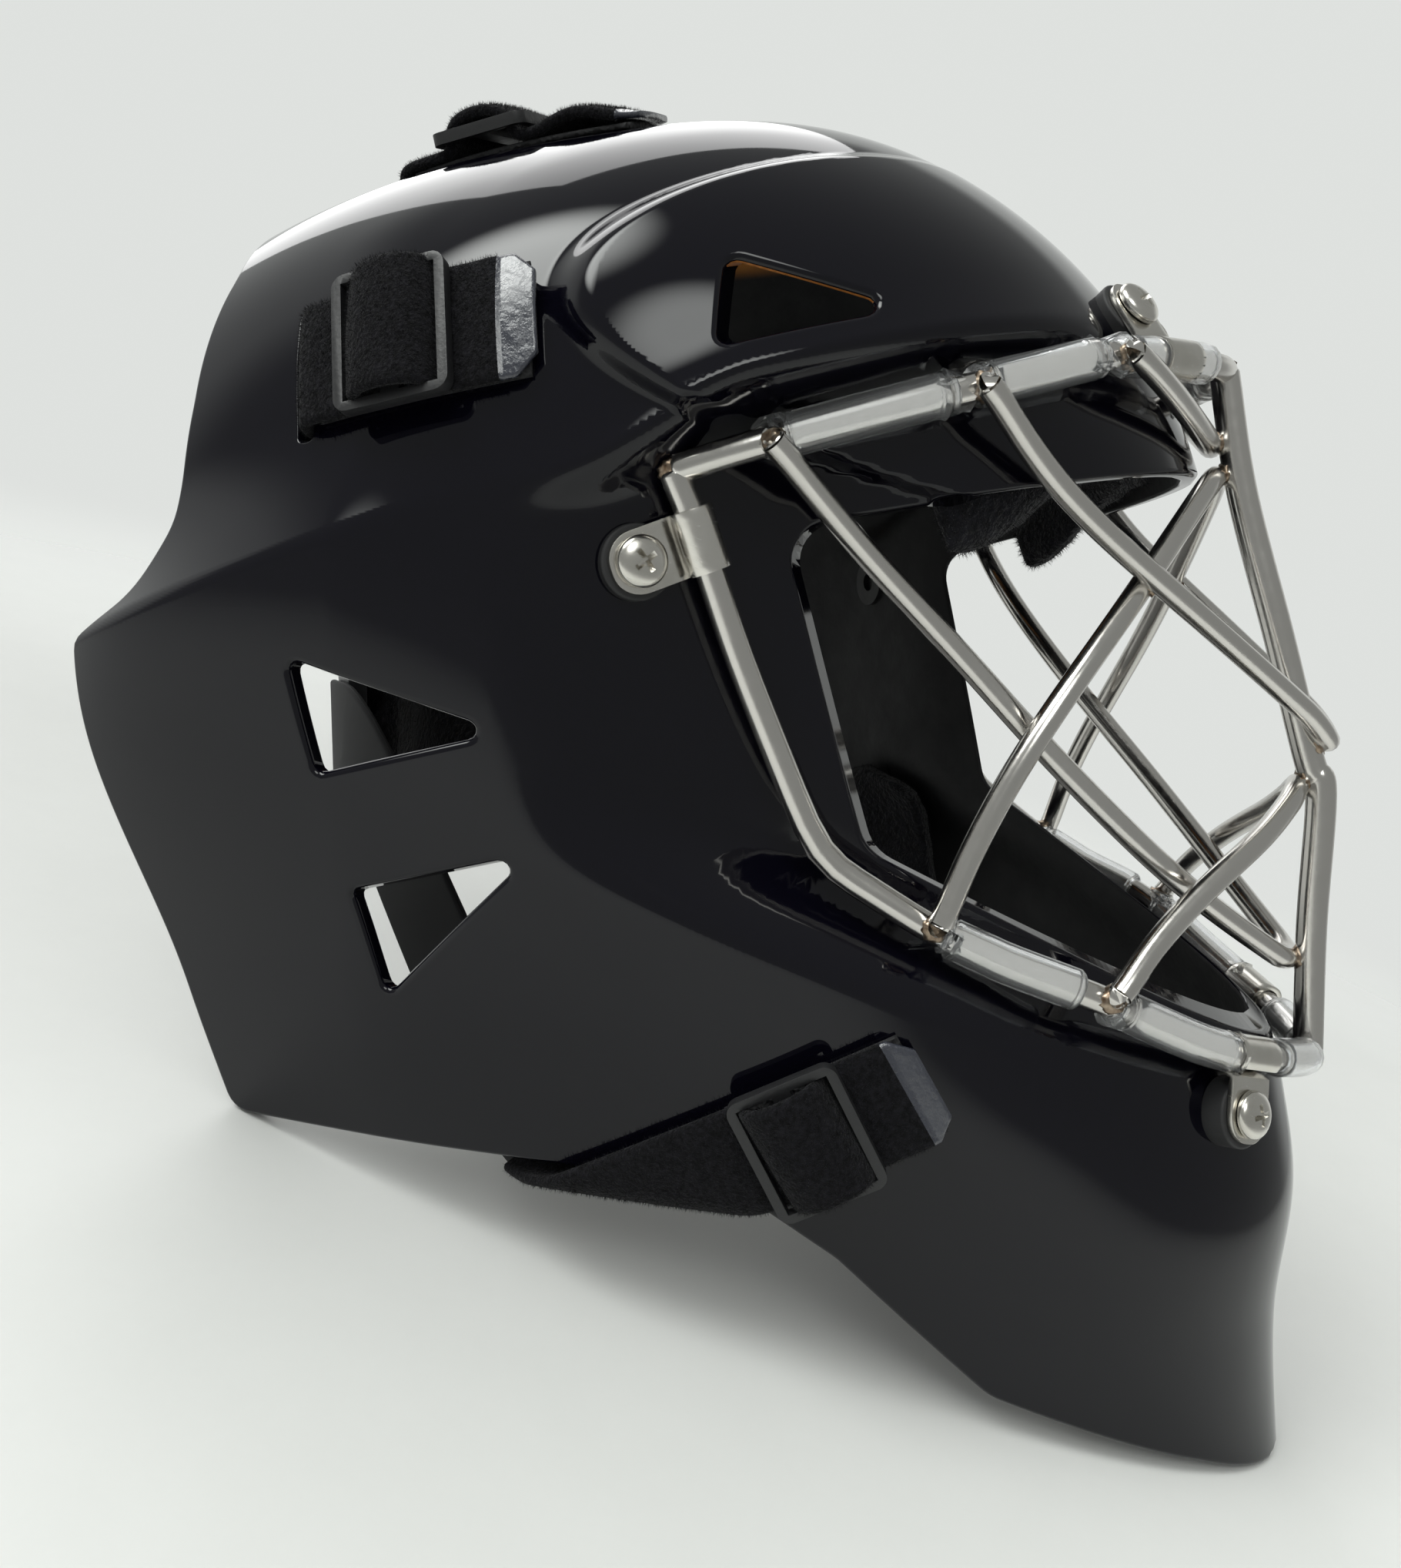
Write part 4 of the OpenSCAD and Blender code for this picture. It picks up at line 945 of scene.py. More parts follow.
WIRES = {
    "cage_top_wire": (through(mirrored(TOP)), WIRE_D),
    "cage_lower_wire": (lower_path, WIRE_D),
    "cage_centre_bar": (bar_path, BAR_D),
    "cage_vee_upper": (vee(TOP[1], (-0.75, -0.6, 0.2), [
        (-64, -34, 11), (-50, -50, -8), (-47, -63.5, -24), (-40.5, -77.5, -39), (-30, -92, -55)],
        -72, 1), VEE_D),
    "cage_vee_middle": (vee(TOP[3], (-0.55, -0.8, 0.25), [
        (-53.5, -63, 28), (-45, -72.5, 16.5), (-33, -85, 5), (-21, -98.5, -7.5), (-8, -111.5, -20)],
        -26, -1), VEE_D),
    "cage_vee_brow": (vee(TOP[5], (-0.4, -0.9, 0.2), [(-21, -86.5, 40)], 34.5, 1), VEE_D),
    "cage_vee_lower": (vee(LOWER[4], (-0.8, -0.6, 0), [
        (-62, -56, -40), (-57, -65, -22.5), (-47, -73.5, -8), (-32.5, -80.5, 5), (-20.5, -86.5, 17)],
        28, 1), VEE_D),
    "cage_vee_chin": (vee(LOWER[6], (-0.65, -0.75, 0.1), [
        (-46, -86, -62), (-36, -93.5, -53.5), (-28, -100, -47.5), (-15.5, -106.5, -42)], -35.5, 1), VEE_D),
}
print("wires:", {name: len(path) for name, (path, d) in WIRES.items()})

# %% [markdown]
# Where two wires cross within touching distance they are welded. The place of each weld is found
# from the paths, so that the bead sits in the crease from any side, and the steel near it is
# browned by the heat, which an attribute on the mesh carries to the finish.

# %% Welds
def crossings(one, two, near):
    gaps = np.linalg.norm(one[:, None] - two[None], axis=2)
    best, nearest = gaps.min(axis=1), gaps.argmin(axis=1)
    ways = unit(np.gradient(one, axis=0))
    found = []
    for i in np.argsort(best):
        if best[i] > near:
            break
        middle = (one[i] + two[nearest[i]]) / 2
        if all(np.linalg.norm(middle - other[0]) > 12 for other in found):
            found.append((middle, unit(one[i] - two[nearest[i]] + 1e-6), ways[i]))
    return found


WELDS = []
names = list(WIRES)
for i, first in enumerate(names):
    for second in names[i + 1:]:
        (a, da), (b, db) = WIRES[first], WIRES[second]
        WELDS += crossings(a, b, (da + db) / 2 + 0.9)
weld_places = np.array([w[0] for w in WELDS])
print("welds:", len(WELDS))


def round_wire(name, path, diameter, material, sides=5):
    """A curve with a round bevel along a path, its ends a little rounded off, made a mesh."""
    curve = bpy.data.curves.new(name, "CURVE")
    curve.dimensions = "3D"
    curve.bevel_depth = diameter / 2000.0
    curve.bevel_resolution = sides
    curve.use_fill_caps = True
    tip = 0.12 * diameter
    head_way, tail_way = unit(path[1] - path[0]) * tip, unit(path[-2] - path[-1]) * tip
    head = [path[0], path[0] + head_way * 0.4, path[0] + head_way]
    tail = [path[-1] + tail_way, path[-1] + tail_way * 0.4, path[-1]]
    run = np.concatenate([head, path[1:-1], tail])
    spline = curve.splines.new("POLY")
    spline.points.add(len(run) - 1)
    spline.points.foreach_set("co", np.concatenate([laid(run), np.ones((len(run), 1))], axis=1).ravel())
    radii = np.ones(len(run))
    radii[[0, -1]], radii[[1, -2]] = 0.84, 0.94
    spline.points.foreach_set("radius", radii)
    piece = bpy.data.objects.new(name, curve)
    bpy.context.scene.collection.objects.link(piece)
    choose(piece)
    bpy.ops.object.convert(target="MESH")
    piece = bpy.context.active_object
    piece.name = piece.data.name = name
    smooth_but_for(50)
    piece.data.materials.clear()
    piece.data.materials.append(material)
    return piece


def brown_near_welds(piece, reach=0.0075):
    gaps = np.linalg.norm(spots_of(piece.data)[:, None] - laid(weld_places)[None], axis=2).min(axis=1)
    layer = piece.data.attributes.new("heat", "FLOAT", "POINT")
    layer.data.foreach_set("value", 0.75 * smooth(1.25 - gaps / reach))


for name, (path, diameter) in WIRES.items():
    wire = round_wire(name.replace("cage", "wire"), path, diameter, steel)
    brown_near_welds(wire)
    carried(wire, "cage_steel", name)

# %% [markdown]
# A weld bead is a small lumpy drop, wider along the crease than across it. One ball is lengthened,
# roughened and copied to every crossing, and the copies are joined into one piece.

# %% Weld beads
BEAD_WIDE, BEAD_HIGH = 2.7, 1.5
beads = []
for number, (middle, across, along) in enumerate(WELDS):
    deselect()
    bpy.ops.mesh.primitive_ico_sphere_add(subdivisions=3, radius=1.0)
    bead = bpy.context.active_object
    side = np.cross(across, along)
    axes = np.stack([unit(side) * BEAD_WIDE, unit(np.cross(side, across)) * BEAD_WIDE,
                     unit(across) * BEAD_HIGH], axis=1)
    spots = spots_of(bead.data)
    lumps = 1 + 0.10 * np.sin(spots @ [3.1, 4.7, 2.3] * 2.2 + number)
    lumps += 0.07 * np.sin(spots @ [-5.0, 2.9, 4.1] * 2.0)
    bead.data.vertices.foreach_set("co", laid((spots * lumps[:, None]) @ axes.T + middle).ravel())
    bead.data.materials.append(bead_steel)
    beads.append(bead)
weld_beads = joined(beads, "weld_beads")
bpy.ops.object.shade_smooth()
carried(weld_beads, "cage_steel")

# %% [markdown]
# Lengths of clear vinyl tube cover the wires where they could touch the shell. Each is a curve
# without caps, given a wall by Solidify, with cut ends. Vinyl is mostly clear, a little milky.

# %% Clear tubes
vinyl = finish("clear_vinyl", (0.97, 0.98, 0.99), 0.06, 0.0, Transmission_Weight=0.96, IOR=1.40)
dulled(vinyl, 0.02, 0.14, 160.0, 5.0)
bump(vinyl, grain(vinyl, 120.0, 3.0), 0.15, 0.0006)
TUBE_D, TUBE_PLAY = 8.0, 0.2


def part_of(path, start, end):
    """The part of a path between two of its bends, counted from its right-hand end."""
    at = np.arange(len(path)) / BEND_STEPS
    keep = (at > start) & (at < end)
    ends = [[np.interp(t, at, path[:, k]) for k in range(3)] for t in (start, end)]
    return np.concatenate([[ends[0]], path[keep], [ends[1]]])


def clear_tube(name, path, spans):
    tubes = []
    for number, (start, end) in enumerate(spans):
        tube = round_wire(f"{name}_{number}", part_of(path, start, end), TUBE_D, vinyl, 6)
        choose(tube)
        bpy.ops.object.mode_set(mode="EDIT")
        bpy.ops.mesh.select_all(action="DESELECT")
        bpy.ops.object.mode_set(mode="OBJECT")
        for face in tube.data.polygons:
            face.select = len(face.vertices) > 4
        bpy.ops.object.mode_set(mode="EDIT")
        bpy.ops.mesh.select_mode(type="FACE")
        bpy.ops.mesh.delete(type="FACE")
        bpy.ops.object.mode_set(mode="OBJECT")
        wall = tube.modifiers.new("wall", "SOLIDIFY")
        wall.thickness = (TUBE_D - WIRE_D - TUBE_PLAY) / 2000.0
        wall.offset = -1.0
        bpy.ops.object.modifier_apply(modifier="wall")
        smooth_but_for(50)
        tubes.append(tube)
    return joined(tubes, name)


SPANS = {"top": [(1.12, 2.86), (3.14, 4.86), (5.12, 5.75), (5.95, 6.5)],
         "lower": [(4.22, 5.82), (6.16, 7.35), (8.0, 8.75)]}
for wire, spans in SPANS.items():
    path, label = WIRES[f"cage_{wire}_wire"][0], f"{wire}_tubes"
    for side, run in zip(SIDES, (path, path[::-1])):
        carried(clear_tube(f"{label}_{side}_clear", run, spans), "clear_vinyl", f"{label}_{side}")

# %% [markdown]
# Six clips hold the cage. Each is a stainless strip with a rounded tab under a pan head screw and a
# loop round the wire, on a rubber washer. The strip is a flat grid bent along its path in the side
# view of the clip, thickened by Solidify and softened by Bevel.

# %% Seats of the clips
CLIP_W, CLIP_T, CLIP_ROOM, CLIP_FLAT, CLIP_LOOP = 11.5, 1.1, 0.2, 6.8, math.radians(285)
SEAT_SINK, LAY_ROOM = 0.5, 0.15
HEAD_D, HEAD_H, HEAD_EDGE, HEAD_RIM, SHANK_R, SHANK_L = 9.5, 2.8, 0.3, 0.9, 2.3, 6.0
WASHER_D, WASHER_HOLE, WASHER_EDGE, WASHER_SINK = 14.0, 2.6, 0.6, 0.3


def square_to(v, t):
    return unit(v - (v @ t) * t)


def seat_frame(seat, path):
    i = 1 + int(np.linalg.norm(path[1:-1] - seat, axis=1).argmin())
    t = unit(path[i + 1] - path[i - 1])
    wire = path[i] + t * ((seat - path[i]) @ t)
    n = square_to(outward(*seat), t)
    to = wire - seat
    ex = square_to(to - (to @ t) * t, n)
    axes = np.stack([ex, np.cross(n, ex), n], axis=1)
    flat = to - (to @ n) * n - (to @ t) * t
    return {"place": seat, "axes": axes, "wire": np.array([np.linalg.norm(flat), to @ n])}


def front_seat(x, z):
    ys = np.linspace(float(section(np.array(z), 0.0)[0]), -20.0, 4000)
    return np.array([-x, ys[np.argmax(half_width(ys, np.full_like(ys, z)) >= x)], z])


top_wire, lower_wire = WIRES["cage_top_wire"][0], WIRES["cage_lower_wire"][0]
temple_place = np.array([-float(half_width(2.0, 9.0)), 2.0, 9.0])
# The frame of each seat, and the height of its washer
SEATS = {
    "temple": (seat_frame(temple_place, lower_wire), 2.5),
    "brow": (seat_frame(front_seat(16.5, 57.5), top_wire), 4.0),
    "chin": (seat_frame(front_seat(28.0, -98.0), lower_wire), 4.5),
}
print("clip seats:", {name: [round(v, 1) for v in seat["place"]] for name, (seat, t) in SEATS.items()})


def seated(seat, points, side):
    return on_side(np.asarray(points, float) @ seat["axes"].T + seat["place"], side)


clip_steel = finish("clip_steel", (0.64, 0.62, 0.58), 0.22, 1.0)
brushed = add(clip_steel, "Mapping", Vector=place_of(clip_steel), Scale=(300.0, 300.0, 2600.0)).outputs[0]
dulled(clip_steel, 0.12, 0.34, 1.0, 3.0, 0.6, brushed)
coloured(clip_steel, grain(clip_steel, 90.0), (0.3, (0.58, 0.56, 0.51)), (0.75, (0.70, 0.68, 0.64)))


def clip_strip(seat, washer, side, name):
    z = washer - SEAT_SINK + LAY_ROOM + CLIP_T / 2
    loop_r = WIRE_D / 2 + CLIP_ROOM + CLIP_T / 2
    flat_end = np.array([CLIP_FLAT, z])
    d = flat_end - seat["wire"]
    start = math.atan2(d[1], d[0]) % (2 * math.pi) + math.acos(min(1.0, loop_r / np.linalg.norm(d)))
    loop = [seat["wire"] + loop_r * np.array([math.cos(a), math.sin(a)])
            for a in np.linspace(start, start + CLIP_LOOP, 40)]
    radius = CLIP_W / 2
    tab = [np.array([-radius * math.cos(a), z]) for a in np.linspace(0, math.pi / 2, 10)]
    path = np.array(tab + [np.array([x, z]) for x in np.linspace(1.0, flat_end[0], 6)] + loop)
    tab_half = [radius * math.sin(a) for a in np.linspace(0.12, math.pi / 2, len(tab))]
    half = tab_half + [radius] * (len(path) - len(tab))
    across = np.linspace(-1, 1, 9)
    grid = np.array([[(x, w * h, height) for w in across] for (x, height), h in zip(path, half)])
    n = len(across)
    quads = [(i * n + j, (i + 1) * n + j, (i + 1) * n + j + 1, i * n + j + 1)
             for i in range(len(path) - 1) for j in range(n - 1)]
    strip = new_piece(name, seated(seat, grid.reshape(-1, 3), side), faces_on(quads, side), [clip_steel])
    baked(strip, ("SOLIDIFY", {"thickness": CLIP_T / 1000, "offset": 0.0}), bevel(0.00022, 2, 50))
    outward_faces(strip)
    smooth_but_for(40)
    return strip


for label, (seat, washer) in SEATS.items():
    for side in SIDES:
        strip = clip_strip(seat, washer, side, f"{label}_clip_{side}_strip")
        carried(strip, "clip_steel", f"{label}_clip_{side}")

# %% [markdown]
# The pan head is turned: half of its section is spun round the axis, and a cross is cut into it by
# a boolean with two tapered bars. One screw is made and copied onto the six seats.

# %% Screws
def turned_piece(name, profile, material, steps=48):
    """Spins a section of (radius, height) round the z axis."""
    deselect()
    bpy.ops.mesh.primitive_plane_add(size=1.0)
    piece = bpy.context.active_object
    piece.name = piece.data.name = name
    bpy.ops.object.mode_set(mode="EDIT")
    mesh = bmesh.from_edit_mesh(piece.data)
    bmesh.ops.delete(mesh, geom=mesh.verts[:], context="VERTS")
    row = [mesh.verts.new((r, 0.0, h)) for r, h in profile]
    for a, b in zip(row[:-1], row[1:]):
        mesh.edges.new((a, b))
    bmesh.update_edit_mesh(piece.data)
    bpy.ops.mesh.select_all(action="SELECT")
    bpy.ops.mesh.spin(steps=steps, angle=2 * math.pi, center=(0, 0, 0), axis=(0, 0, 1))
    bpy.ops.mesh.select_all(action="SELECT")
    bpy.ops.mesh.remove_doubles(threshold=1e-4)
    bpy.ops.mesh.normals_make_consistent(inside=False)
    bpy.ops.object.mode_set(mode="OBJECT")
    piece.data.materials.append(material)
    return piece


head_r = HEAD_D / 2
shank = [(0, -SHANK_L), (SHANK_R, -SHANK_L), (SHANK_R, 0.0), (head_r - HEAD_EDGE, 0.0), (head_r, HEAD_EDGE)]
dome = [(head_r * math.cos(a), HEAD_RIM + (HEAD_H - HEAD_RIM) * math.sin(a))
        for a in np.linspace(0.0, math.pi / 2, 12)]
screw = turned_piece("screw", shank + dome[:-1] + [(0, HEAD_H)], clip_steel)
CROSS_FLOOR, CROSS_MOUTH, CROSS_TURN = (2.2, 0.7), (5.6, 1.15), 0.3
CROSS_LOW, CROSS_HIGH = 0.7, HEAD_H + 0.6
for turn in (0.0, math.pi / 2):
    deselect()
    bpy.ops.mesh.primitive_cube_add(size=1.0)
    bar = bpy.context.active_object
    for vertex in bar.data.vertices:
        deep = vertex.co.z < 0
        length, width = CROSS_FLOOR if deep else CROSS_MOUTH
        vertex.co.x *= length
        vertex.co.y *= width
        vertex.co.z = CROSS_LOW if deep else CROSS_HIGH
    bar.data.transform(Matrix.Rotation(turn + CROSS_TURN, 4, "Z"))
    cut_by(screw, bar)
baked(screw, bevel(0.10, 2, 35))
screw_points, screw_faces = taken(screw)

rubber = finish("black_rubber", (0.012, 0.012, 0.013), 0.62)
dulled(rubber, 0.45, 0.8, 260.0)
bump(rubber, grain(rubber, 500.0), 0.2, 0.0003)


def washer_profile(height):
    r, edge = WASHER_D / 2, WASHER_EDGE
    arc = [(r - edge + edge * math.cos(a), height - edge + edge * math.sin(a))
           for a in np.linspace(0, math.pi / 2, 6)]
    return [(WASHER_HOLE, 0.0), (r, 0.0)] + arc + [(WASHER_HOLE, height), (WASHER_HOLE, 0.0)]


all_screws, all_washers = [], []
for seat, washer in SEATS.values():
    head = washer - SEAT_SINK + 2 * LAY_ROOM + CLIP_T
    ring_points, ring_faces = taken(turned_piece("ring", washer_profile(washer + WASHER_SINK), rubber, 40))
    for side in SIDES:
        spots = seated(seat, screw_points + [0, 0, head], side)
        all_screws.append(new_piece("screw", spots, faces_on(screw_faces, side), [clip_steel]))
        spots = seated(seat, ring_points + [0, 0, -SEAT_SINK - WASHER_SINK], side)
        all_washers.append(new_piece("washer", spots, faces_on(ring_faces, side), [rubber]))
for pieces, name, degrees, slot, node in (
        (all_screws, "pan_head_screws", 32, "clip_steel", "clip_screws"),
        (all_washers, "rubber_washers", 40, "washer_rubber", "clip_washers")):
    group = joined(pieces, name)
    smooth_but_for(degrees)
    carried(group, slot, node)
black_nut = finish("black_nut", (0.012, 0.012, 0.013), 0.5)
dulled(black_nut, 0.4, 0.65, 400.0)
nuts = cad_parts["clip_nuts"].data
nuts.materials.clear()
nuts.materials.append(black_nut)

# %% [markdown]
# The straps are black fleece webbing. Their pile shows at every edge, so short fibres are set on
# the webbing as thin triangles, seeded, so that each run gives the same coat. The end of each strap
# is melted smooth, which makes the bright sealed tip.

# %% Strap finishes
fleece = finish("strap_fleece", (0.003, 0.003, 0.004), 0.95, Sheen_Weight=0.05, Sheen_Roughness=0.5,
                Specular_IOR_Level=0.15)
coloured(fleece, grain(fleece, 900.0, 3.0),
         (0.35, (0.001, 0.001, 0.0014)), (0.72, (0.0075, 0.0072, 0.0095)))
bump(fleece, grain(fleece, 1500.0, 2.0), 0.7, 0.0008)
sealed = finish("sealed_tip", (0.024, 0.026, 0.036), 0.24, Coat_Weight=0.8, Coat_Roughness=0.12)
streak = add(sealed, "Mapping", Vector=place_of(sealed), Scale=(500.0, 500.0, 60.0)).outputs[0]
dulled(sealed, 0.10, 0.42, 1.0, 4.0, 0.6, streak)
bump(sealed, grain(sealed, 420.0, 4.0), 0.55, 0.0012)
hooks = finish("hook_tape", (0.008, 0.008, 0.009), 0.8)
dulled(hooks, 0.6, 0.95, 700.0)
bump(hooks, add(hooks, "TexVoronoi", Vector=place_of(hooks), Scale=900.0).outputs["Distance"], 0.8, 0.0006)
nylon = finish("slide_nylon", (0.011, 0.011, 0.012), 0.40)
dulled(nylon, 0.32, 0.55, 420.0)
bump(nylon, grain(nylon, 900.0, 2.0), 0.25, 0.0003)
print("strap finishes:", fleece.name, sealed.name, hooks.name, nylon.name)

# %% [markdown]
# A strap lives in three numbers: how far along it, how far across it, and how high over the skin.
# Each strap has its own rule that turns those into a place. The jaw strap's rule also bends it
# round the lower edge of the shell and back up the inside.

# %% Places on the skin
STRAP_T, STRAP_MID, PATCH_T = 2.2, 2.6, 1.2
ZERO, ONE = np.zeros(1), np.ones(1)


def over_skin(y, z, h):
    x = -half_width(y, z)
    return np.stack([x, y, z], axis=-1) + outward(x, y, z) * np.asarray(h)[..., None]


def side_place(middle, angle):
    along = np.array([-math.cos(angle), math.sin(angle)])
    up = np.array([math.sin(angle), math.cos(angle)])

    def place(u, w, h):
        y, z = (middle[k] + u * along[k] + w * up[k] for k in (0, 1))
        return over_skin(y, z, h)
    return place


def top_place(u, w, h):
    x, y = TOP_X + w * TOP_LEAN, TOP_SLIDE_Y - u
    z = skin_height(x, y)
    return over_skin(y, z, h)


LOWER_A, LOWER_B = np.array([-13.0, -109.6]), np.array([23.0, -107.0])
LOWER_DIR = unit(LOWER_B - LOWER_A)
LOWER_IN = np.array([-LOWER_DIR[1], LOWER_DIR[0]])
ROUND_EDGE = WALL / 2 + STRAP_MID


def jaw_place(u, w, h):
    along = np.array([-math.cos(JAW_ANGLE), math.sin(JAW_ANGLE)])
    up = np.array([math.sin(JAW_ANGLE), math.cos(JAW_ANGLE)])
    yz = np.stack([JAW_SLIDE[k] + u * along[k] + w * up[k] for k in (0, 1)], axis=-1)
    deep = (yz - LOWER_A) @ LOWER_IN
    edge = yz - deep[..., None] * LOWER_IN
    on_top = over_skin(yz[..., 0], yz[..., 1], h)
    rim = over_skin(edge[..., 0], edge[..., 1], np.full_like(u, -WALL / 2))
    n = outward(-half_width(edge[..., 0], edge[..., 1]), edge[..., 0], edge[..., 1])
    out = np.stack([np.zeros_like(u), np.full_like(u, -LOWER_IN[0]), np.full_like(u, -LOWER_IN[1])], axis=-1)
    out = unit(out - (out * n).sum(-1, keepdims=True) * n)
    turn = np.clip(-deep / ROUND_EDGE, 0.0, math.pi)[..., None]
    round_it = rim + (h + WALL / 2)[..., None] * (np.cos(turn) * n + np.sin(turn) * out)
    back = edge + (-deep - math.pi * ROUND_EDGE)[..., None] * LOWER_IN
    under = over_skin(back[..., 0], back[..., 1], -WALL - h)
    place = np.where((deep >= 0)[..., None], on_top, round_it)
    return np.where((-deep > math.pi * ROUND_EDGE)[..., None], under, place)


PLACES = {"side": side_place(SIDE_SLIDE, SIDE_ANGLE), "top": top_place, "jaw": jaw_place}
print("places at the slides:", {k: [round(v, 1) for v in p(ZERO, ZERO, ZERO)[0]]
                                for k, p in PLACES.items()})

# %% [markdown]
# A band is a rounded section swept along a path of (along, height). `coat` sets the fibres on it.

# %% Bands and their pile
SEALED_THIN, FIBRE_ROOT, FIBRE_WIDE = 0.6, 0.15, 0.055


def band_section(width, thick):
    """Points round a flat rounded section, as (across, off the middle)."""
    r = thick * 0.42
    half, edge = width / 2 - r, thick / 2 - r
    flat = np.linspace(-half, half, 13)
    corner = np.linspace(0, math.pi / 2, 4)
    ring = [(w, thick / 2) for w in flat]
    ring += [(half + r * math.sin(a), edge + r * math.cos(a)) for a in corner[1:]]
    ring += [(half + r * math.cos(a), -edge - r * math.sin(a)) for a in corner]
    ring += [(w, -thick / 2) for w in flat[::-1]]
    ring += [(-half - r * math.sin(a), -edge - r * math.cos(a)) for a in corner[1:]]
    ring += [(-half - r * math.cos(a), edge + r * math.sin(a)) for a in corner[:-1]]
    return np.array(ring)


def band(place, path, width, thick, tip=0.0):
    """Rings of points along a band whose last `tip` millimetres are sealed flat with clipped corners."""
    path = np.asarray(path, float)
    ahead = unit(np.gradient(path, axis=0))
    off = np.stack([-ahead[:, 1], ahead[:, 0]], axis=-1)
    run = lengths_along(path)
    left = run[-1] - run
    ring = band_section(width, thick)
    narrow = thin = np.ones(len(path))
    if tip:
        narrow = np.where(left < width / 6, 1 - (width / 6 - left) / (width / 2), 1.0)
        thin = np.where(left < tip, SEALED_THIN, 1.0)
    across = ring[None, :, 0] * narrow[:, None]
    lift = ring[None, :, 1] * thin[:, None]
    u = path[:, None, 0] + off[:, None, 0] * lift
    h = path[:, None, 1] + off[:, None, 1] * lift
    points = place(u.ravel(), across.ravel(), h.ravel()).reshape(*u.shape, 3)
    return points, left < tip


def band_faces(rows, count):
    faces = []
    for i in range(rows - 1):
        low, high = i * count, (i + 1) * count
        for j in range(count):
            after = (j + 1) % count
            faces.append((low + j, low + after, high + after, high + j))
    return faces + [tuple(range(count))[::-1], tuple((rows - 1) * count + j for j in range(count))]


def coat(points, bare, amount, length, seed):
    """Roots and tips of fibres spread over a band, as thin triangles."""
    rng = np.random.default_rng(seed)
    rows, count, _ = points.shape
    a = points[:-1]
    b, c = np.roll(points[:-1], -1, axis=1), points[1:]
    square = np.cross(b - a, c - a)
    area = np.linalg.norm(square, axis=-1) * ~bare[1:, None]
    middle = points.mean(axis=1, keepdims=True)[:-1]
    square = unit(square) * np.where(((a - middle) * square).sum(-1, keepdims=True) < 0, -1.0, 1.0)
    pick = rng.choice(area.size, amount, p=(area / area.sum()).ravel())
    a, b, c, n = (v.reshape(-1, 3)[pick] for v in (a, b, c, square))
    s, t = rng.random((2, amount, 1))
    root = a + s * (b - a) + t * (c - a) - FIBRE_ROOT * n
    lean = rng.normal(size=(amount, 3))
    size = length * rng.uniform(0.45, 1.25, (amount, 1))
    tip = root + size * unit(n + 0.75 * unit(lean))
    wide = unit(np.cross(tip - root, lean)) * FIBRE_WIDE
    return np.stack([root - wide, root + wide, tip], axis=1).reshape(-1, 3)


def strap_piece(name, place, path, width, thick, tip, fibres, side, seed, skip_rows=0):
    points, bare = band(place, path, width, thick, tip)
    rows, count, _ = points.shape
    faces = band_faces(rows, count)
    middle = points.reshape(-1, 3)[list(faces[(rows // 2) * count + 5])]
    sign = np.cross(middle[1] - middle[0], middle[3] - middle[0]) @ (middle[0] - points[rows // 2].mean(0))
    faces = [f[::-1] for f in faces] if sign < 0 else faces
    kinds = [int(bare[min(i // count + 1, rows - 1)]) for i in range(len(faces))]
    hair = coat(points, bare | (np.arange(rows) < skip_rows), fibres, 1.0, seed)
    every = np.concatenate([points.reshape(-1, 3), hair])
    first = rows * count
    faces += [(first + 3 * i, first + 3 * i + 1, first + 3 * i + 2) for i in range(fibres)]
    kinds += [0] * fibres
    piece = new_piece(name, on_side(every, side), faces_on(faces, side), [fleece, sealed])
    piece.data.polygons.foreach_set("material_index", kinds)
    return piece


# %% [markdown]
# Each strap comes out of its slot, runs under the slide, loops up over the slide's middle bar and
# goes back under to its free end. The top straps' ends are sprung up from the shell.

# %% Straps
def run_of(points, steps=7):
    flat = np.array([(u, 0.0, h) for u, h in points])
    return through(flat, steps)[:, [0, 2]]


LOOP = [(-10.2, 2.6), (-8.8, 2.75), (-7.6, 3.5), (-7.0, 5.0), (-6.3, 6.8), (-4.6, 8.3), (-2.2, 9.0),
        (0.3, 9.1), (2.6, 8.8), (4.9, 7.9), (6.4, 6.4), (7.1, 4.8), (7.7, 3.5), (8.8, 2.8), (10.2, 2.6)]
side_back = -math.dist(SIDE_SLOT, SIDE_SLIDE)
PATHS = {
    "side": run_of([(side_back, -9.0), (side_back, -5.0), (side_back + 0.1, -1.0), (side_back + 1.4, 1.9),
                    (side_back + 3.6, 2.6), (-14.0, 2.6)] + LOOP
                   + [(13.2, 2.6), (17.0, 2.7), (20.5, 2.7), (24.5, 2.5)]),
    "top": run_of([(-20.5, -9.0), (-20.5, -5.0), (-20.4, -1.0), (-19.2, 1.9), (-17.0, 2.6), (-13.6, 2.6)]
                  + LOOP + [(13.0, 2.9), (16.5, 3.9), (20.5, 4.7), (24.5, 4.4), (28.5, 3.4), (32.0, 2.7),
                            (34.5, 2.6)]),
    "jaw": run_of([(u, STRAP_MID) for u in np.arange(-62.0, -13.0, 8.0)] + LOOP
                  + [(13.2, 2.6), (18.0, 2.7), (24.0, 2.5)], 10),
}
TIPS = {"side": 6.2, "top": 3.5, "jaw": 4.6}
HIDDEN_ROWS = {"side": 6, "top": 6, "jaw": 0}
PATCH_STARTS = {"side": -17.0, "top": -17.0, "jaw": -11.0}
STRAP_FIBRES, PATCH_LIFT, PATCH_BACK, PATCH_NARROW = 26000, 0.15, 1.5, 1.0
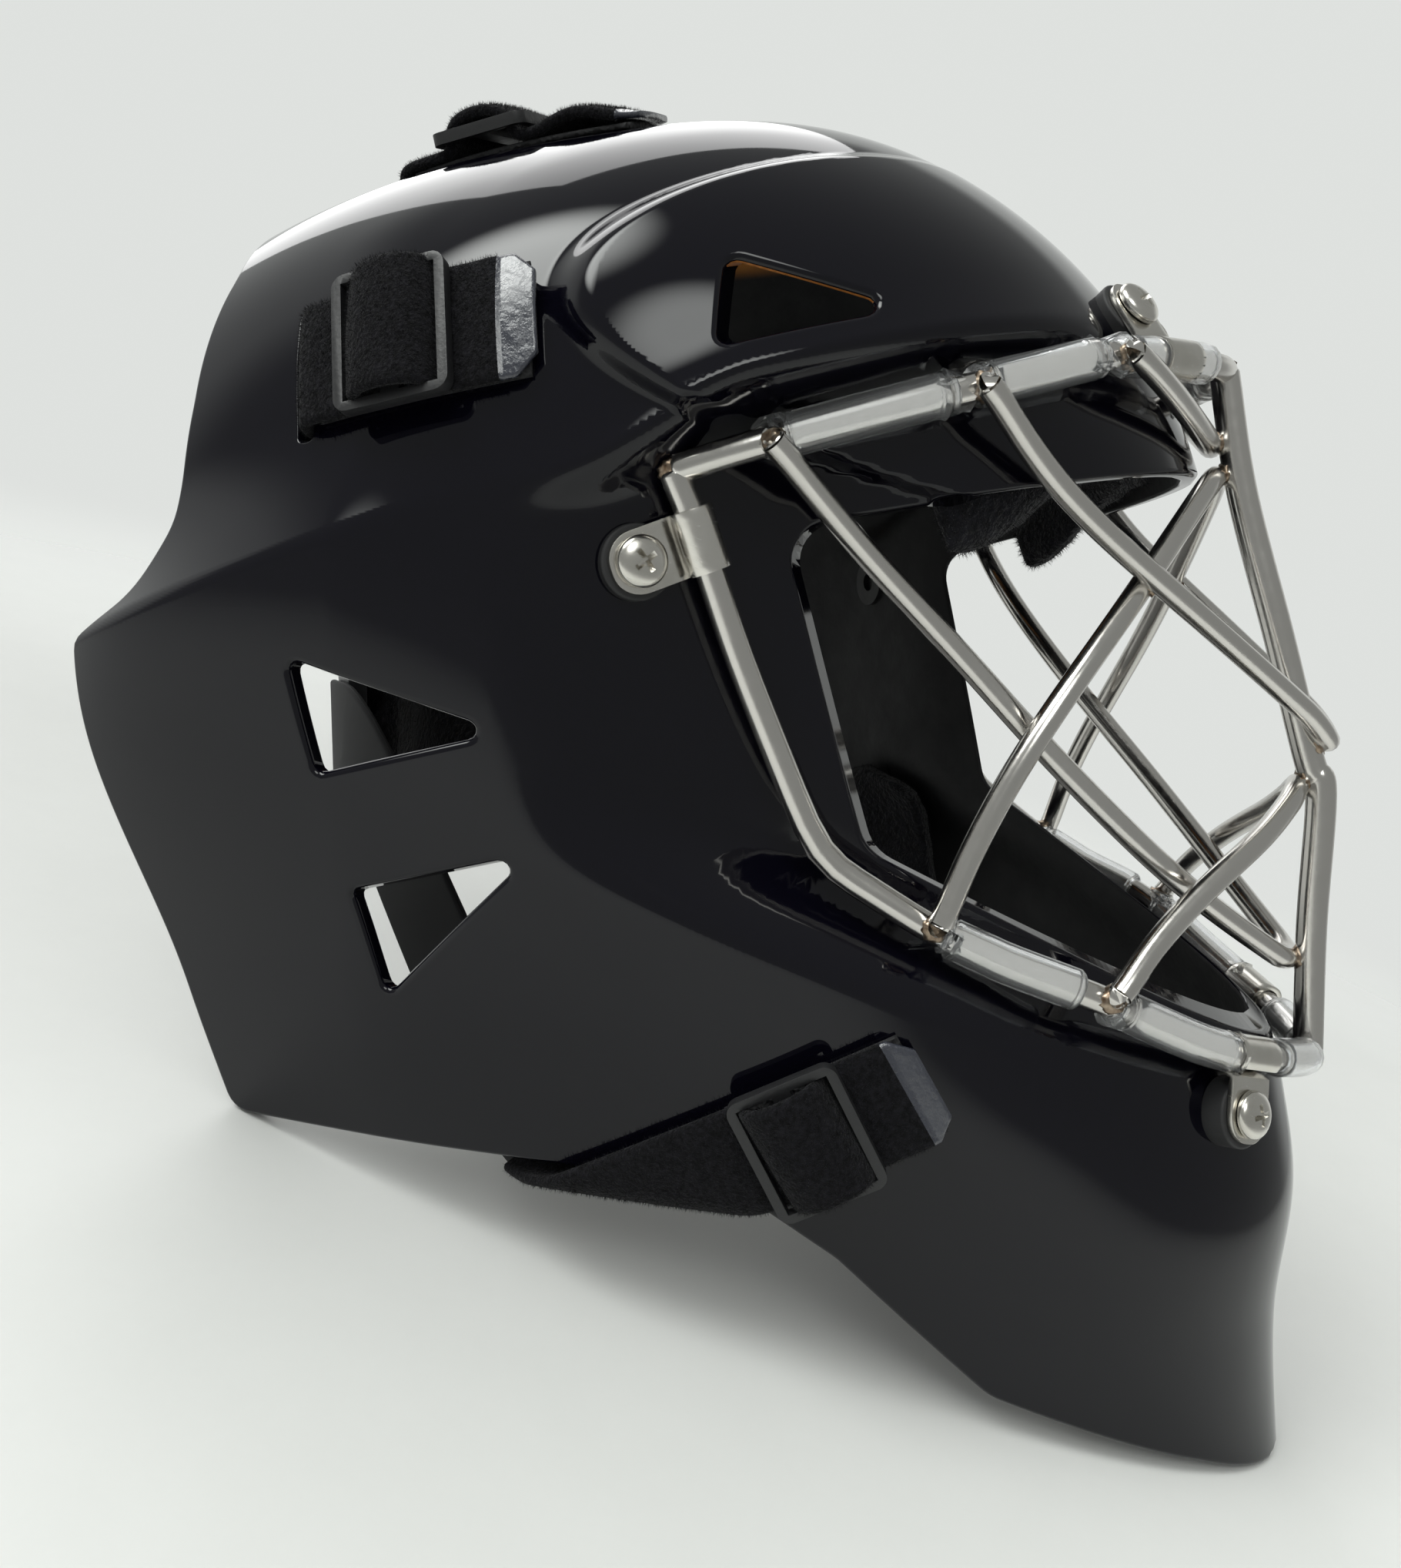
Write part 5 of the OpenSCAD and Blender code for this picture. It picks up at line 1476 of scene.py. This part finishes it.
for kind, path in PATHS.items():
    patch_run = np.linspace(PATCH_STARTS[kind], path[-1][0] - PATCH_BACK, 30)
    low = [(u, PATCH_T / 2 + PATCH_LIFT) for u in patch_run]
    points, _ = band(PLACES[kind], low, STRAP_W - PATCH_NARROW, PATCH_T)
    faces = band_faces(*points.shape[:2])
    for side in SIDES:
        webbing = strap_piece(f"{kind}_strap_{side}_webbing", PLACES[kind], path, STRAP_W, STRAP_T,
                              TIPS[kind], STRAP_FIBRES, side, 7 + len(kind), HIDDEN_ROWS[kind])
        carried(webbing, "strap_fleece", f"{kind}_strap_{side}")
        tape = new_piece(f"{kind}_patch_{side}_tape", on_side(points.reshape(-1, 3), side), faces, [hooks])
        outward_faces(tape)
        carried(tape, "hook_tape", f"{kind}_patch_{side}")

# %% [markdown]
# A slide is a moulded frame with a middle bar. It starts as a block, two windows are cut by boolean,
# and every edge is rounded. It is made once in its own frame and set on the six straps.

# %% Slides
SLIDE_L, SLIDE_W, SLIDE_T, SLIDE_Z, END_BAR, MIDDLE_BAR, RAIL = 22.0, 26.6, 2.4, 3.85, 1.9, 3.6, 1.8


def block(size, at):
    deselect()
    bpy.ops.mesh.primitive_cube_add(size=1.0)
    piece = bpy.context.active_object
    piece.data.transform(Matrix.Translation(at) @ Matrix.Diagonal((*size, 1.0)))
    return piece


slide = block((SLIDE_L, SLIDE_W, SLIDE_T), (0, 0, SLIDE_Z + SLIDE_T / 2))
bpy.ops.object.mode_set(mode="EDIT")
bpy.ops.mesh.select_all(action="DESELECT")
body = bmesh.from_edit_mesh(slide.data)
for edge in body.edges:
    edge.select = abs(edge.verts[0].co.z - edge.verts[1].co.z) > 1.0
bmesh.update_edit_mesh(slide.data)
bpy.ops.mesh.bevel(offset=2.6, segments=6)
bpy.ops.object.mode_set(mode="OBJECT")
window = (SLIDE_L - 2 * END_BAR - MIDDLE_BAR) / 2
for s in (-1, 1):
    cut = block((window, SLIDE_W - 2 * RAIL, 10.0), (s * (MIDDLE_BAR + window) / 2, 0, SLIDE_Z))
    cut_by(slide, cut)
baked(slide, bevel(0.55, 3, 40))
slide_points, slide_faces = taken(slide)
for kind, place in PLACES.items():
    middle = place(ZERO, ZERO, ZERO)[0]
    n = unit(place(ZERO, ZERO, ONE)[0] - middle)
    ex = square_to(place(ONE, ZERO, ZERO)[0] - middle, n)
    points = slide_points @ np.stack([ex, np.cross(n, ex), n], axis=1).T + middle
    for side in SIDES:
        buckle = new_piece(f"{kind}_slide_{side}_frame", on_side(points, side),
                           faces_on(slide_faces, side), [nylon])
        outward_faces(buckle)
        smooth_but_for(35)
        carried(buckle, "slide_nylon", f"{kind}_slide_{side}")

# %% [markdown]
# The elastics inside the straps end on the backplate.

# %% Elastics
web = finish("elastic_web", (0.018, 0.018, 0.020), 0.75)
weave_place = add(web, "UVMap").outputs[0]
ribs, cross_ribs = waves(web, "X", weave_place, 7.0, 0.4), waves(web, "Y", weave_place, 9.0, 0.6)
knit = computed(web, "MULTIPLY", ribs, cross_ribs)
coloured(web, knit, (0.1, (0.006, 0.006, 0.007)), (0.9, (0.035, 0.035, 0.040)))
bump(web, knit, 0.7, 0.0006)
ELASTIC_T, PLATE_R, PLATE_T, PLATE_Y, PLATE_LOW, PLATE_HIGH = 1.8, 75.0, 4.0, 36.0, -45.0, 62.0
PLATE_HALF, TOP_END, PLATE_LAY = math.radians(50.0), math.radians(26.0), 0.2


def on_plate(angle, z, off=0.0):
    r = PLATE_R + off
    return np.array([-r * math.sin(angle), PLATE_Y + r * math.cos(angle), z])


def ribbon(name, middle, across, side):
    """A ribbon along a path, with its width direction at every step."""
    middle, across = np.asarray(middle, float), unit(across)
    ahead = unit(np.gradient(middle, axis=0))
    across = unit(across - (across * ahead).sum(1, keepdims=True) * ahead)
    off = np.cross(across, ahead)
    ring = band_section(STRAP_W, ELASTIC_T)
    points = middle[:, None] + across[:, None] * ring[None, :, :1] + off[:, None] * ring[None, :, 1:]
    rows, count, _ = points.shape
    flat = points.reshape(-1, 3)
    piece = new_piece(name, on_side(flat, side), band_faces(rows, count), [web])
    run = lengths_along(middle)
    uv = piece.data.uv_layers.new(name="UVMap")
    for loop in piece.data.loops:
        i, j = divmod(loop.vertex_index, count)
        uv.data[loop.index].uv = (ring[j, 0] / 4.0, run[i] / 4.0)
    return outward_faces(piece)


def curve_between(a, a_way, b, b_way, steps=28):
    t = np.linspace(0, 1, steps)[:, None]
    return (1 - t)**3 * a + 3 * (1 - t)**2 * t * (a + a_way) + 3 * (1 - t) * t**2 * (b + b_way) + t**3 * b


def laid_on_plate(angle, z, way, length, steps=8):
    """A short run of ribbon on the outside of the plate, from its edge inwards."""
    off = ELASTIC_T / 2 + PLATE_LAY
    return [on_plate(angle + way[0] * s / PLATE_R, z + way[1] * s, off)
            for s in np.linspace(0, length, steps)]


def strap_exit(kind):
    """Where a strap's inner end is, its width direction and the way it points."""
    place, path = PLACES[kind], PATHS[kind]
    u, h = path[0][:1], path[0][1:]
    middle = place(u, ZERO, h)[0]
    wide = unit(place(u, ONE, h)[0] - middle)
    later = place(path[2][:1], ZERO, path[2][1:])[0]
    return middle, wide, unit(middle - later)


# Angle and height on the plate, the way an elastic lies on it, and its width direction there
ENDS = {
    "side": (PLATE_HALF, 38.0, (-1.0, 0.0), (0, 0, 1)),
    "top": (TOP_END, PLATE_HIGH, (0.0, -1.0), (math.cos(TOP_END), math.sin(TOP_END), 0)),
    "jaw": (PLATE_HALF, -26.0, (-1.0, 0.0), (0, 0, 1)),
}
for kind, (angle, z, way, wide_end) in ENDS.items():
    start, wide, heading = strap_exit(kind)
    landing = np.array(laid_on_plate(angle, z, way, 13.0))
    arrive = unit(landing[0] - landing[1])
    free = curve_between(start - 2.0 * heading, heading * 14.0, landing[0], arrive * 12.0)
    wide = wide if np.dot(wide, wide_end) >= 0 else -wide
    middle = np.concatenate([free, landing[1:]])
    share = np.clip(np.linspace(0, 1, len(middle)) * 1.25, 0, 1)[:, None]
    across = unit((1 - share) * wide + share * np.array(wide_end, float))
    for side in SIDES:
        elastic = ribbon(f"{kind}_elastic_{side}_ribbon", middle, across, side)
        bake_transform(elastic)
        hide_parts(f"{kind}_elastic_{side}")
print("elastics:", 2 * len(ENDS))

# %% [markdown]
# The backplate is a curved moulding with rounded corners and three vent slots. A flat grid is
# shortened row by row to round its corners, wrapped on the plate's arc, cut, thickened and bevelled.

# %% Backplate
moulded = finish("plate_plastic", (0.016, 0.016, 0.018), 0.38)
dulled(moulded, 0.28, 0.5, 260.0)
bump(moulded, grain(moulded, 1500.0, 2.0), 0.25, 0.0002)
CORNER = 16.0
VENT_RUNS, VENT_HALF, VENT_MIDDLE, VENT_REACH = (-18.0, 0.0, 18.0), 3.2, 8.0, 22.0
levels = np.concatenate([PLATE_LOW + CORNER * (1 - np.cos(np.linspace(0, math.pi / 2, 9))),
                         np.linspace(PLATE_LOW + CORNER, PLATE_HIGH - CORNER, 22)[1:-1],
                         PLATE_HIGH - CORNER * (1 - np.cos(np.linspace(math.pi / 2, 0, 9)))])
near = np.maximum(0.0, CORNER - np.minimum(levels - PLATE_LOW, PLATE_HIGH - levels))
half_run = PLATE_HALF * PLATE_R - (CORNER - np.sqrt(np.maximum(0.0, CORNER**2 - near**2)))
across = np.linspace(-1, 1, 61)
n = len(across)
grid = np.array([[on_plate(s * run / PLATE_R, z) for s in across] for z, run in zip(levels, half_run)])
quads = []
for i in range(len(levels) - 1):
    for j in range(len(across) - 1):
        z, run = levels[i:i + 2].mean(), half_run[i:i + 2].mean() * across[j:j + 2].mean()
        in_vent = abs(z - VENT_MIDDLE) < VENT_REACH and any(abs(run - r) < VENT_HALF for r in VENT_RUNS)
        if not in_vent:
            quads.append((i * n + j, i * n + j + 1, (i + 1) * n + j + 1, (i + 1) * n + j))
plate = new_piece("backplate_moulding", grid.reshape(-1, 3), quads, [moulded])
outward_faces(plate)
looks_back = plate.data.polygons[0].normal.y > 0
baked(plate, ("SOLIDIFY", {"thickness": PLATE_T / 1000, "offset": -1.0 if looks_back else 1.0}))
outward_faces(plate)
baked(plate, bevel(0.0011, 3, 60))
smooth_but_for(35)
carried(plate, "plate_plastic", "backplate", body="backplate")

# %% [markdown]
# The pads are foam in brushed fleece. Each starts as a merged copy of its CAD solid, slightly
# shrunk and remeshed, and Cloth with pressure swells it; the side on the shell is pinned, and no
# point moves more than the cap. One subdivision smooths it, and short fibres make the nap.

# %% Pads
pad_fleece = finish("pad_fleece", (0.004, 0.004, 0.006), 0.95, Sheen_Weight=0.12, Sheen_Roughness=0.5,
                    Specular_IOR_Level=0.2)
coloured(pad_fleece, grain(pad_fleece, 500.0),
         (0.3, (0.0015, 0.0015, 0.002)), (0.75, (0.009, 0.009, 0.013)))
bump(pad_fleece, grain(pad_fleece, 700.0, 3.0), 0.9, 0.0015)
PAD_VOXEL, PAD_SHRINK, PAD_CAP, PAD_PRESSURE, SWELL_FRAMES = 0.0045, 0.0012, 0.0035, 4.0, 20
PLAIN_NAP, LINER_NAP, LONG_NAP = (12000, 0.0011), (16000, 0.0011), (30000, 0.0016)
NAP_ROOT, NAP_WIDE = 0.0002, 0.00007
WALL_HOLD, PLATE_HOLD = 4.0, 3.5


def against_wall(points):
    """Which points of the frame lie near the inner wall of the shell."""
    x, y, z = worn(points).T
    return half_width(y, z, WALL) - np.abs(x) < WALL_HOLD


def against_plate(points):
    x, y, _ = worn(points).T
    return np.hypot(x, y - PLATE_Y) > PLATE_R - PLATE_T - PLATE_HOLD


def swollen(node, held_points):
    pad = bpy.data.objects.new(f"{node}_foam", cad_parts[node].data.copy())
    bpy.context.scene.collection.objects.link(pad)
    pad.data.materials.clear()
    pad.data.materials.append(pad_fleece)
    outward_faces(pad)
    baked(pad, ("REMESH", {"mode": "VOXEL", "voxel_size": PAD_VOXEL}))
    mesh = pad.data
    rest = spots_of(mesh) - PAD_SHRINK * np.array([v.normal[:] for v in mesh.vertices])
    mesh.vertices.foreach_set("co", rest.ravel())
    held = pad.vertex_groups.new(name="held")
    held.add([int(i) for i in np.flatnonzero(held_points(rest))], 1.0, "ADD")
    cloth = pad.modifiers.new("swell", "CLOTH")
    cloth.settings.use_pressure = True
    cloth.settings.uniform_pressure_force = PAD_PRESSURE
    cloth.settings.effector_weights.gravity = 0.0
    cloth.settings.vertex_group_mass = "held"
    for number in range(1, SWELL_FRAMES + 1):
        bpy.context.scene.frame_set(number)
    seen = pad.evaluated_get(bpy.context.evaluated_depsgraph_get()).to_mesh()
    moved = spots_of(seen) - rest
    pad.modifiers.remove(cloth)
    bpy.context.scene.frame_set(1)
    far = np.linalg.norm(moved, axis=1, keepdims=True)
    capped = moved * np.minimum(1.0, PAD_CAP / np.maximum(far, 1e-9))
    mesh.vertices.foreach_set("co", (rest + capped).ravel())
    baked(pad, ("SUBSURF", {"levels": 1, "render_levels": 1}))
    bpy.ops.object.shade_smooth()
    return pad


def napped(pad, amount, length, seed):
    """Joins short fibres to a pad."""
    rng = np.random.default_rng(seed)
    mesh = pad.data
    middles = np.array([p.center[:] for p in mesh.polygons])
    aims = np.array([p.normal[:] for p in mesh.polygons])
    areas = np.array([p.area for p in mesh.polygons])
    pick = rng.choice(len(areas), amount, p=areas / areas.sum())
    n, size = aims[pick], np.sqrt(areas[pick])[:, None]
    lean = rng.normal(size=(amount, 3))
    flat = lean - (lean * n).sum(1, keepdims=True) * n
    root = middles[pick] + 0.5 * size * flat - NAP_ROOT * n
    lean = rng.normal(size=(amount, 3))
    tip = root + length * rng.uniform(0.4, 1.3, (amount, 1)) * unit(n + 0.8 * unit(lean))
    wide = unit(np.cross(tip - root, lean)) * NAP_WIDE
    points = np.stack([root - wide, root + wide, tip], axis=1).reshape(-1, 3)
    hair = bpy.data.meshes.new("nap")
    hair.from_pydata(points.tolist(), [], [(3 * i, 3 * i + 1, 3 * i + 2) for i in range(amount)])
    hair.materials.append(pad_fleece)
    nap = bpy.data.objects.new("nap", hair)
    bpy.context.scene.collection.objects.link(nap)
    deselect()
    nap.select_set(True)
    pad.select_set(True)
    bpy.context.view_layer.objects.active = pad
    bpy.ops.object.join()
    return pad


PADS = ["forehead_pad", "crown_pad", "temple_pad_right", "temple_pad_left", "jaw_pad_right", "jaw_pad_left",
        "chin_cup"]
for number, node in enumerate(PADS):
    pad = swollen(node, against_wall)
    napped(pad, *(LONG_NAP if node == "forehead_pad" else PLAIN_NAP), 40 + number)
    carried(pad, "pad_fleece", node)

liner = swollen("backplate_liner", against_plate)
napped(liner, *LINER_NAP, 60)
carried(liner, "pad_fleece", "backplate_liner", body="backplate")

# %% [markdown]
# The stage is a plain pale floor, a little dusty. Painted light and shade make its colour brighter in front
# of the mask and darker behind it, where the light falls off, and it fades into the background with distance.

# %% Floor
FLOOR_NEAR, FLOOR_FAR = 0.26, 0.72
# Painted light and shade: along this way the floor's colour is scaled from brighter in front of the mask to
# darker behind it.
SHADE_WAY, SHADE_START, SHADE_END = (0.85, 0.53, 0.0), -0.16, 0.20
PAINTED_LIT, PAINTED_DIM = 1.08, 0.75
deselect()
bpy.ops.mesh.primitive_circle_add(vertices=96, radius=1.3, fill_type="NGON", location=(0, 0, 0))
floor = bpy.context.active_object
floor.name = "floor"
pale = finish("pale_floor", (0.70, 0.705, 0.69), 0.6, Specular_IOR_Level=0.2)
dusty = ramp(pale, grain(pale, 9.0, 8.0, 0.7), (0.3, (0.685, 0.69, 0.675)), (0.7, (0.72, 0.725, 0.71)))
shade_run = along_way(pale, place_of(pale), SHADE_WAY)
# Painted shade: this scale darkens the dusty floor colour behind the mask and lightens it in front.
painted_falloff = add(pale, "MapRange", i0=shade_run, i1=SHADE_START, i2=SHADE_END, i3=PAINTED_LIT, i4=PAINTED_DIM).outputs[0]
into(pale, "Base Color", add(pale, "VectorMath", {"operation": "SCALE"}, i0=dusty, i3=painted_falloff).outputs["Vector"])
away = add(pale, "VectorMath", {"operation": "LENGTH"}, i0=place_of(pale)).outputs["Value"]
into(pale, "Alpha", step_up(pale, away, FLOOR_NEAR, FLOOR_FAR, 1.0, 0.0))
floor.data.materials.append(pale)
print("floor:", pale.name)

# %% [markdown]
# Black lacquer shows what stands around it: the white wall behind the mask, the pale floor, a dim
# room on the camera's side and two soft windows above. The world is that room for mirrored rays,
# by direction. The camera and rays through the vinyl meet one plain tone instead.

# %% Room
MIDDLE_Z = 0.15
WALL_WAY = (0.80, 0.60, 0.0)
ROOM_DARK, ROOM_WALL, ROOM_FLOOR = 0.42, 1.0, 0.50
# Azimuth and elevation, half angles of the glow and of its core, strength
WINDOWS = [((126, 49), 22.0, 7.0, 14.0), ((-168, 46), 16.0, 5.0, 8.0)]
world = bpy.data.worlds.new("world")
bpy.context.scene.world = world
world.use_nodes = True
sky = world.node_tree.nodes["Background"]


def at(azimuth, elevation, distance):
    """A place round the mask: azimuth from +X towards +Y, in degrees."""
    a, e = math.radians(azimuth), math.radians(elevation)
    return (distance * math.cos(a) * math.cos(e), distance * math.sin(a) * math.cos(e),
            MIDDLE_Z + distance * math.sin(e))


way = add(world, "TexCoord").outputs["Generated"]
height = add(world, "SeparateXYZ", i0=way).outputs["Z"]
wall_part = step_up(world, along_way(world, way, WALL_WAY), 0.10, 0.40)
low_part = step_up(world, height, 0.50, 0.62, 1.0, 0.0)
above = span(world, computed(world, "MULTIPLY", wall_part, low_part), ROOM_DARK, ROOM_WALL)
under = step_up(world, height, -0.30, 0.06, 1.0, 0.0)
level = add(world, "Mix", i0=under, i2=above, i3=ROOM_FLOOR).outputs[0]
for window_way, wide, core, glow in WINDOWS:
    facing = along_way(world, way, Vector(at(*window_way, 1.0)) - Vector((0, 0, MIDDLE_Z)))
    edge, middle = (math.cos(math.radians(degrees)) for degrees in (wide, core))
    level = computed(world, "ADD", level, step_up(world, facing, edge, middle, 0.0, glow))
rays = add(world, "LightPath").outputs
seen = computed(world, "MAXIMUM", rays["Is Camera Ray"], rays["Is Transmission Ray"])
plain = computed(world, "MAXIMUM", seen, rays["Is Diffuse Ray"])
strength = add(world, "Mix", i0=plain, i2=level, i3=1.0).outputs[0]
world.node_tree.links.new(strength, sky.inputs["Strength"])
sky.inputs["Color"].default_value = (0.735, 0.755, 0.735, 1.0)


def panel(name, place, aim, size, power):
    lamp = bpy.data.lights.new(name, "AREA")
    lamp.shape = "RECTANGLE"
    lamp.size, lamp.size_y = size
    lamp.energy = power
    piece = bpy.data.objects.new(name, lamp)
    bpy.context.scene.collection.objects.link(piece)
    piece.location = place
    piece.rotation_euler = (Vector(aim) - Vector(place)).to_track_quat("-Z", "Y").to_euler()
    return piece


panel("wall", at(50, 30, 1.5), (0, 0, MIDDLE_Z), (1.05, 1.15), 8.0)
print("stage: floor, a room with two windows, and a soft panel")
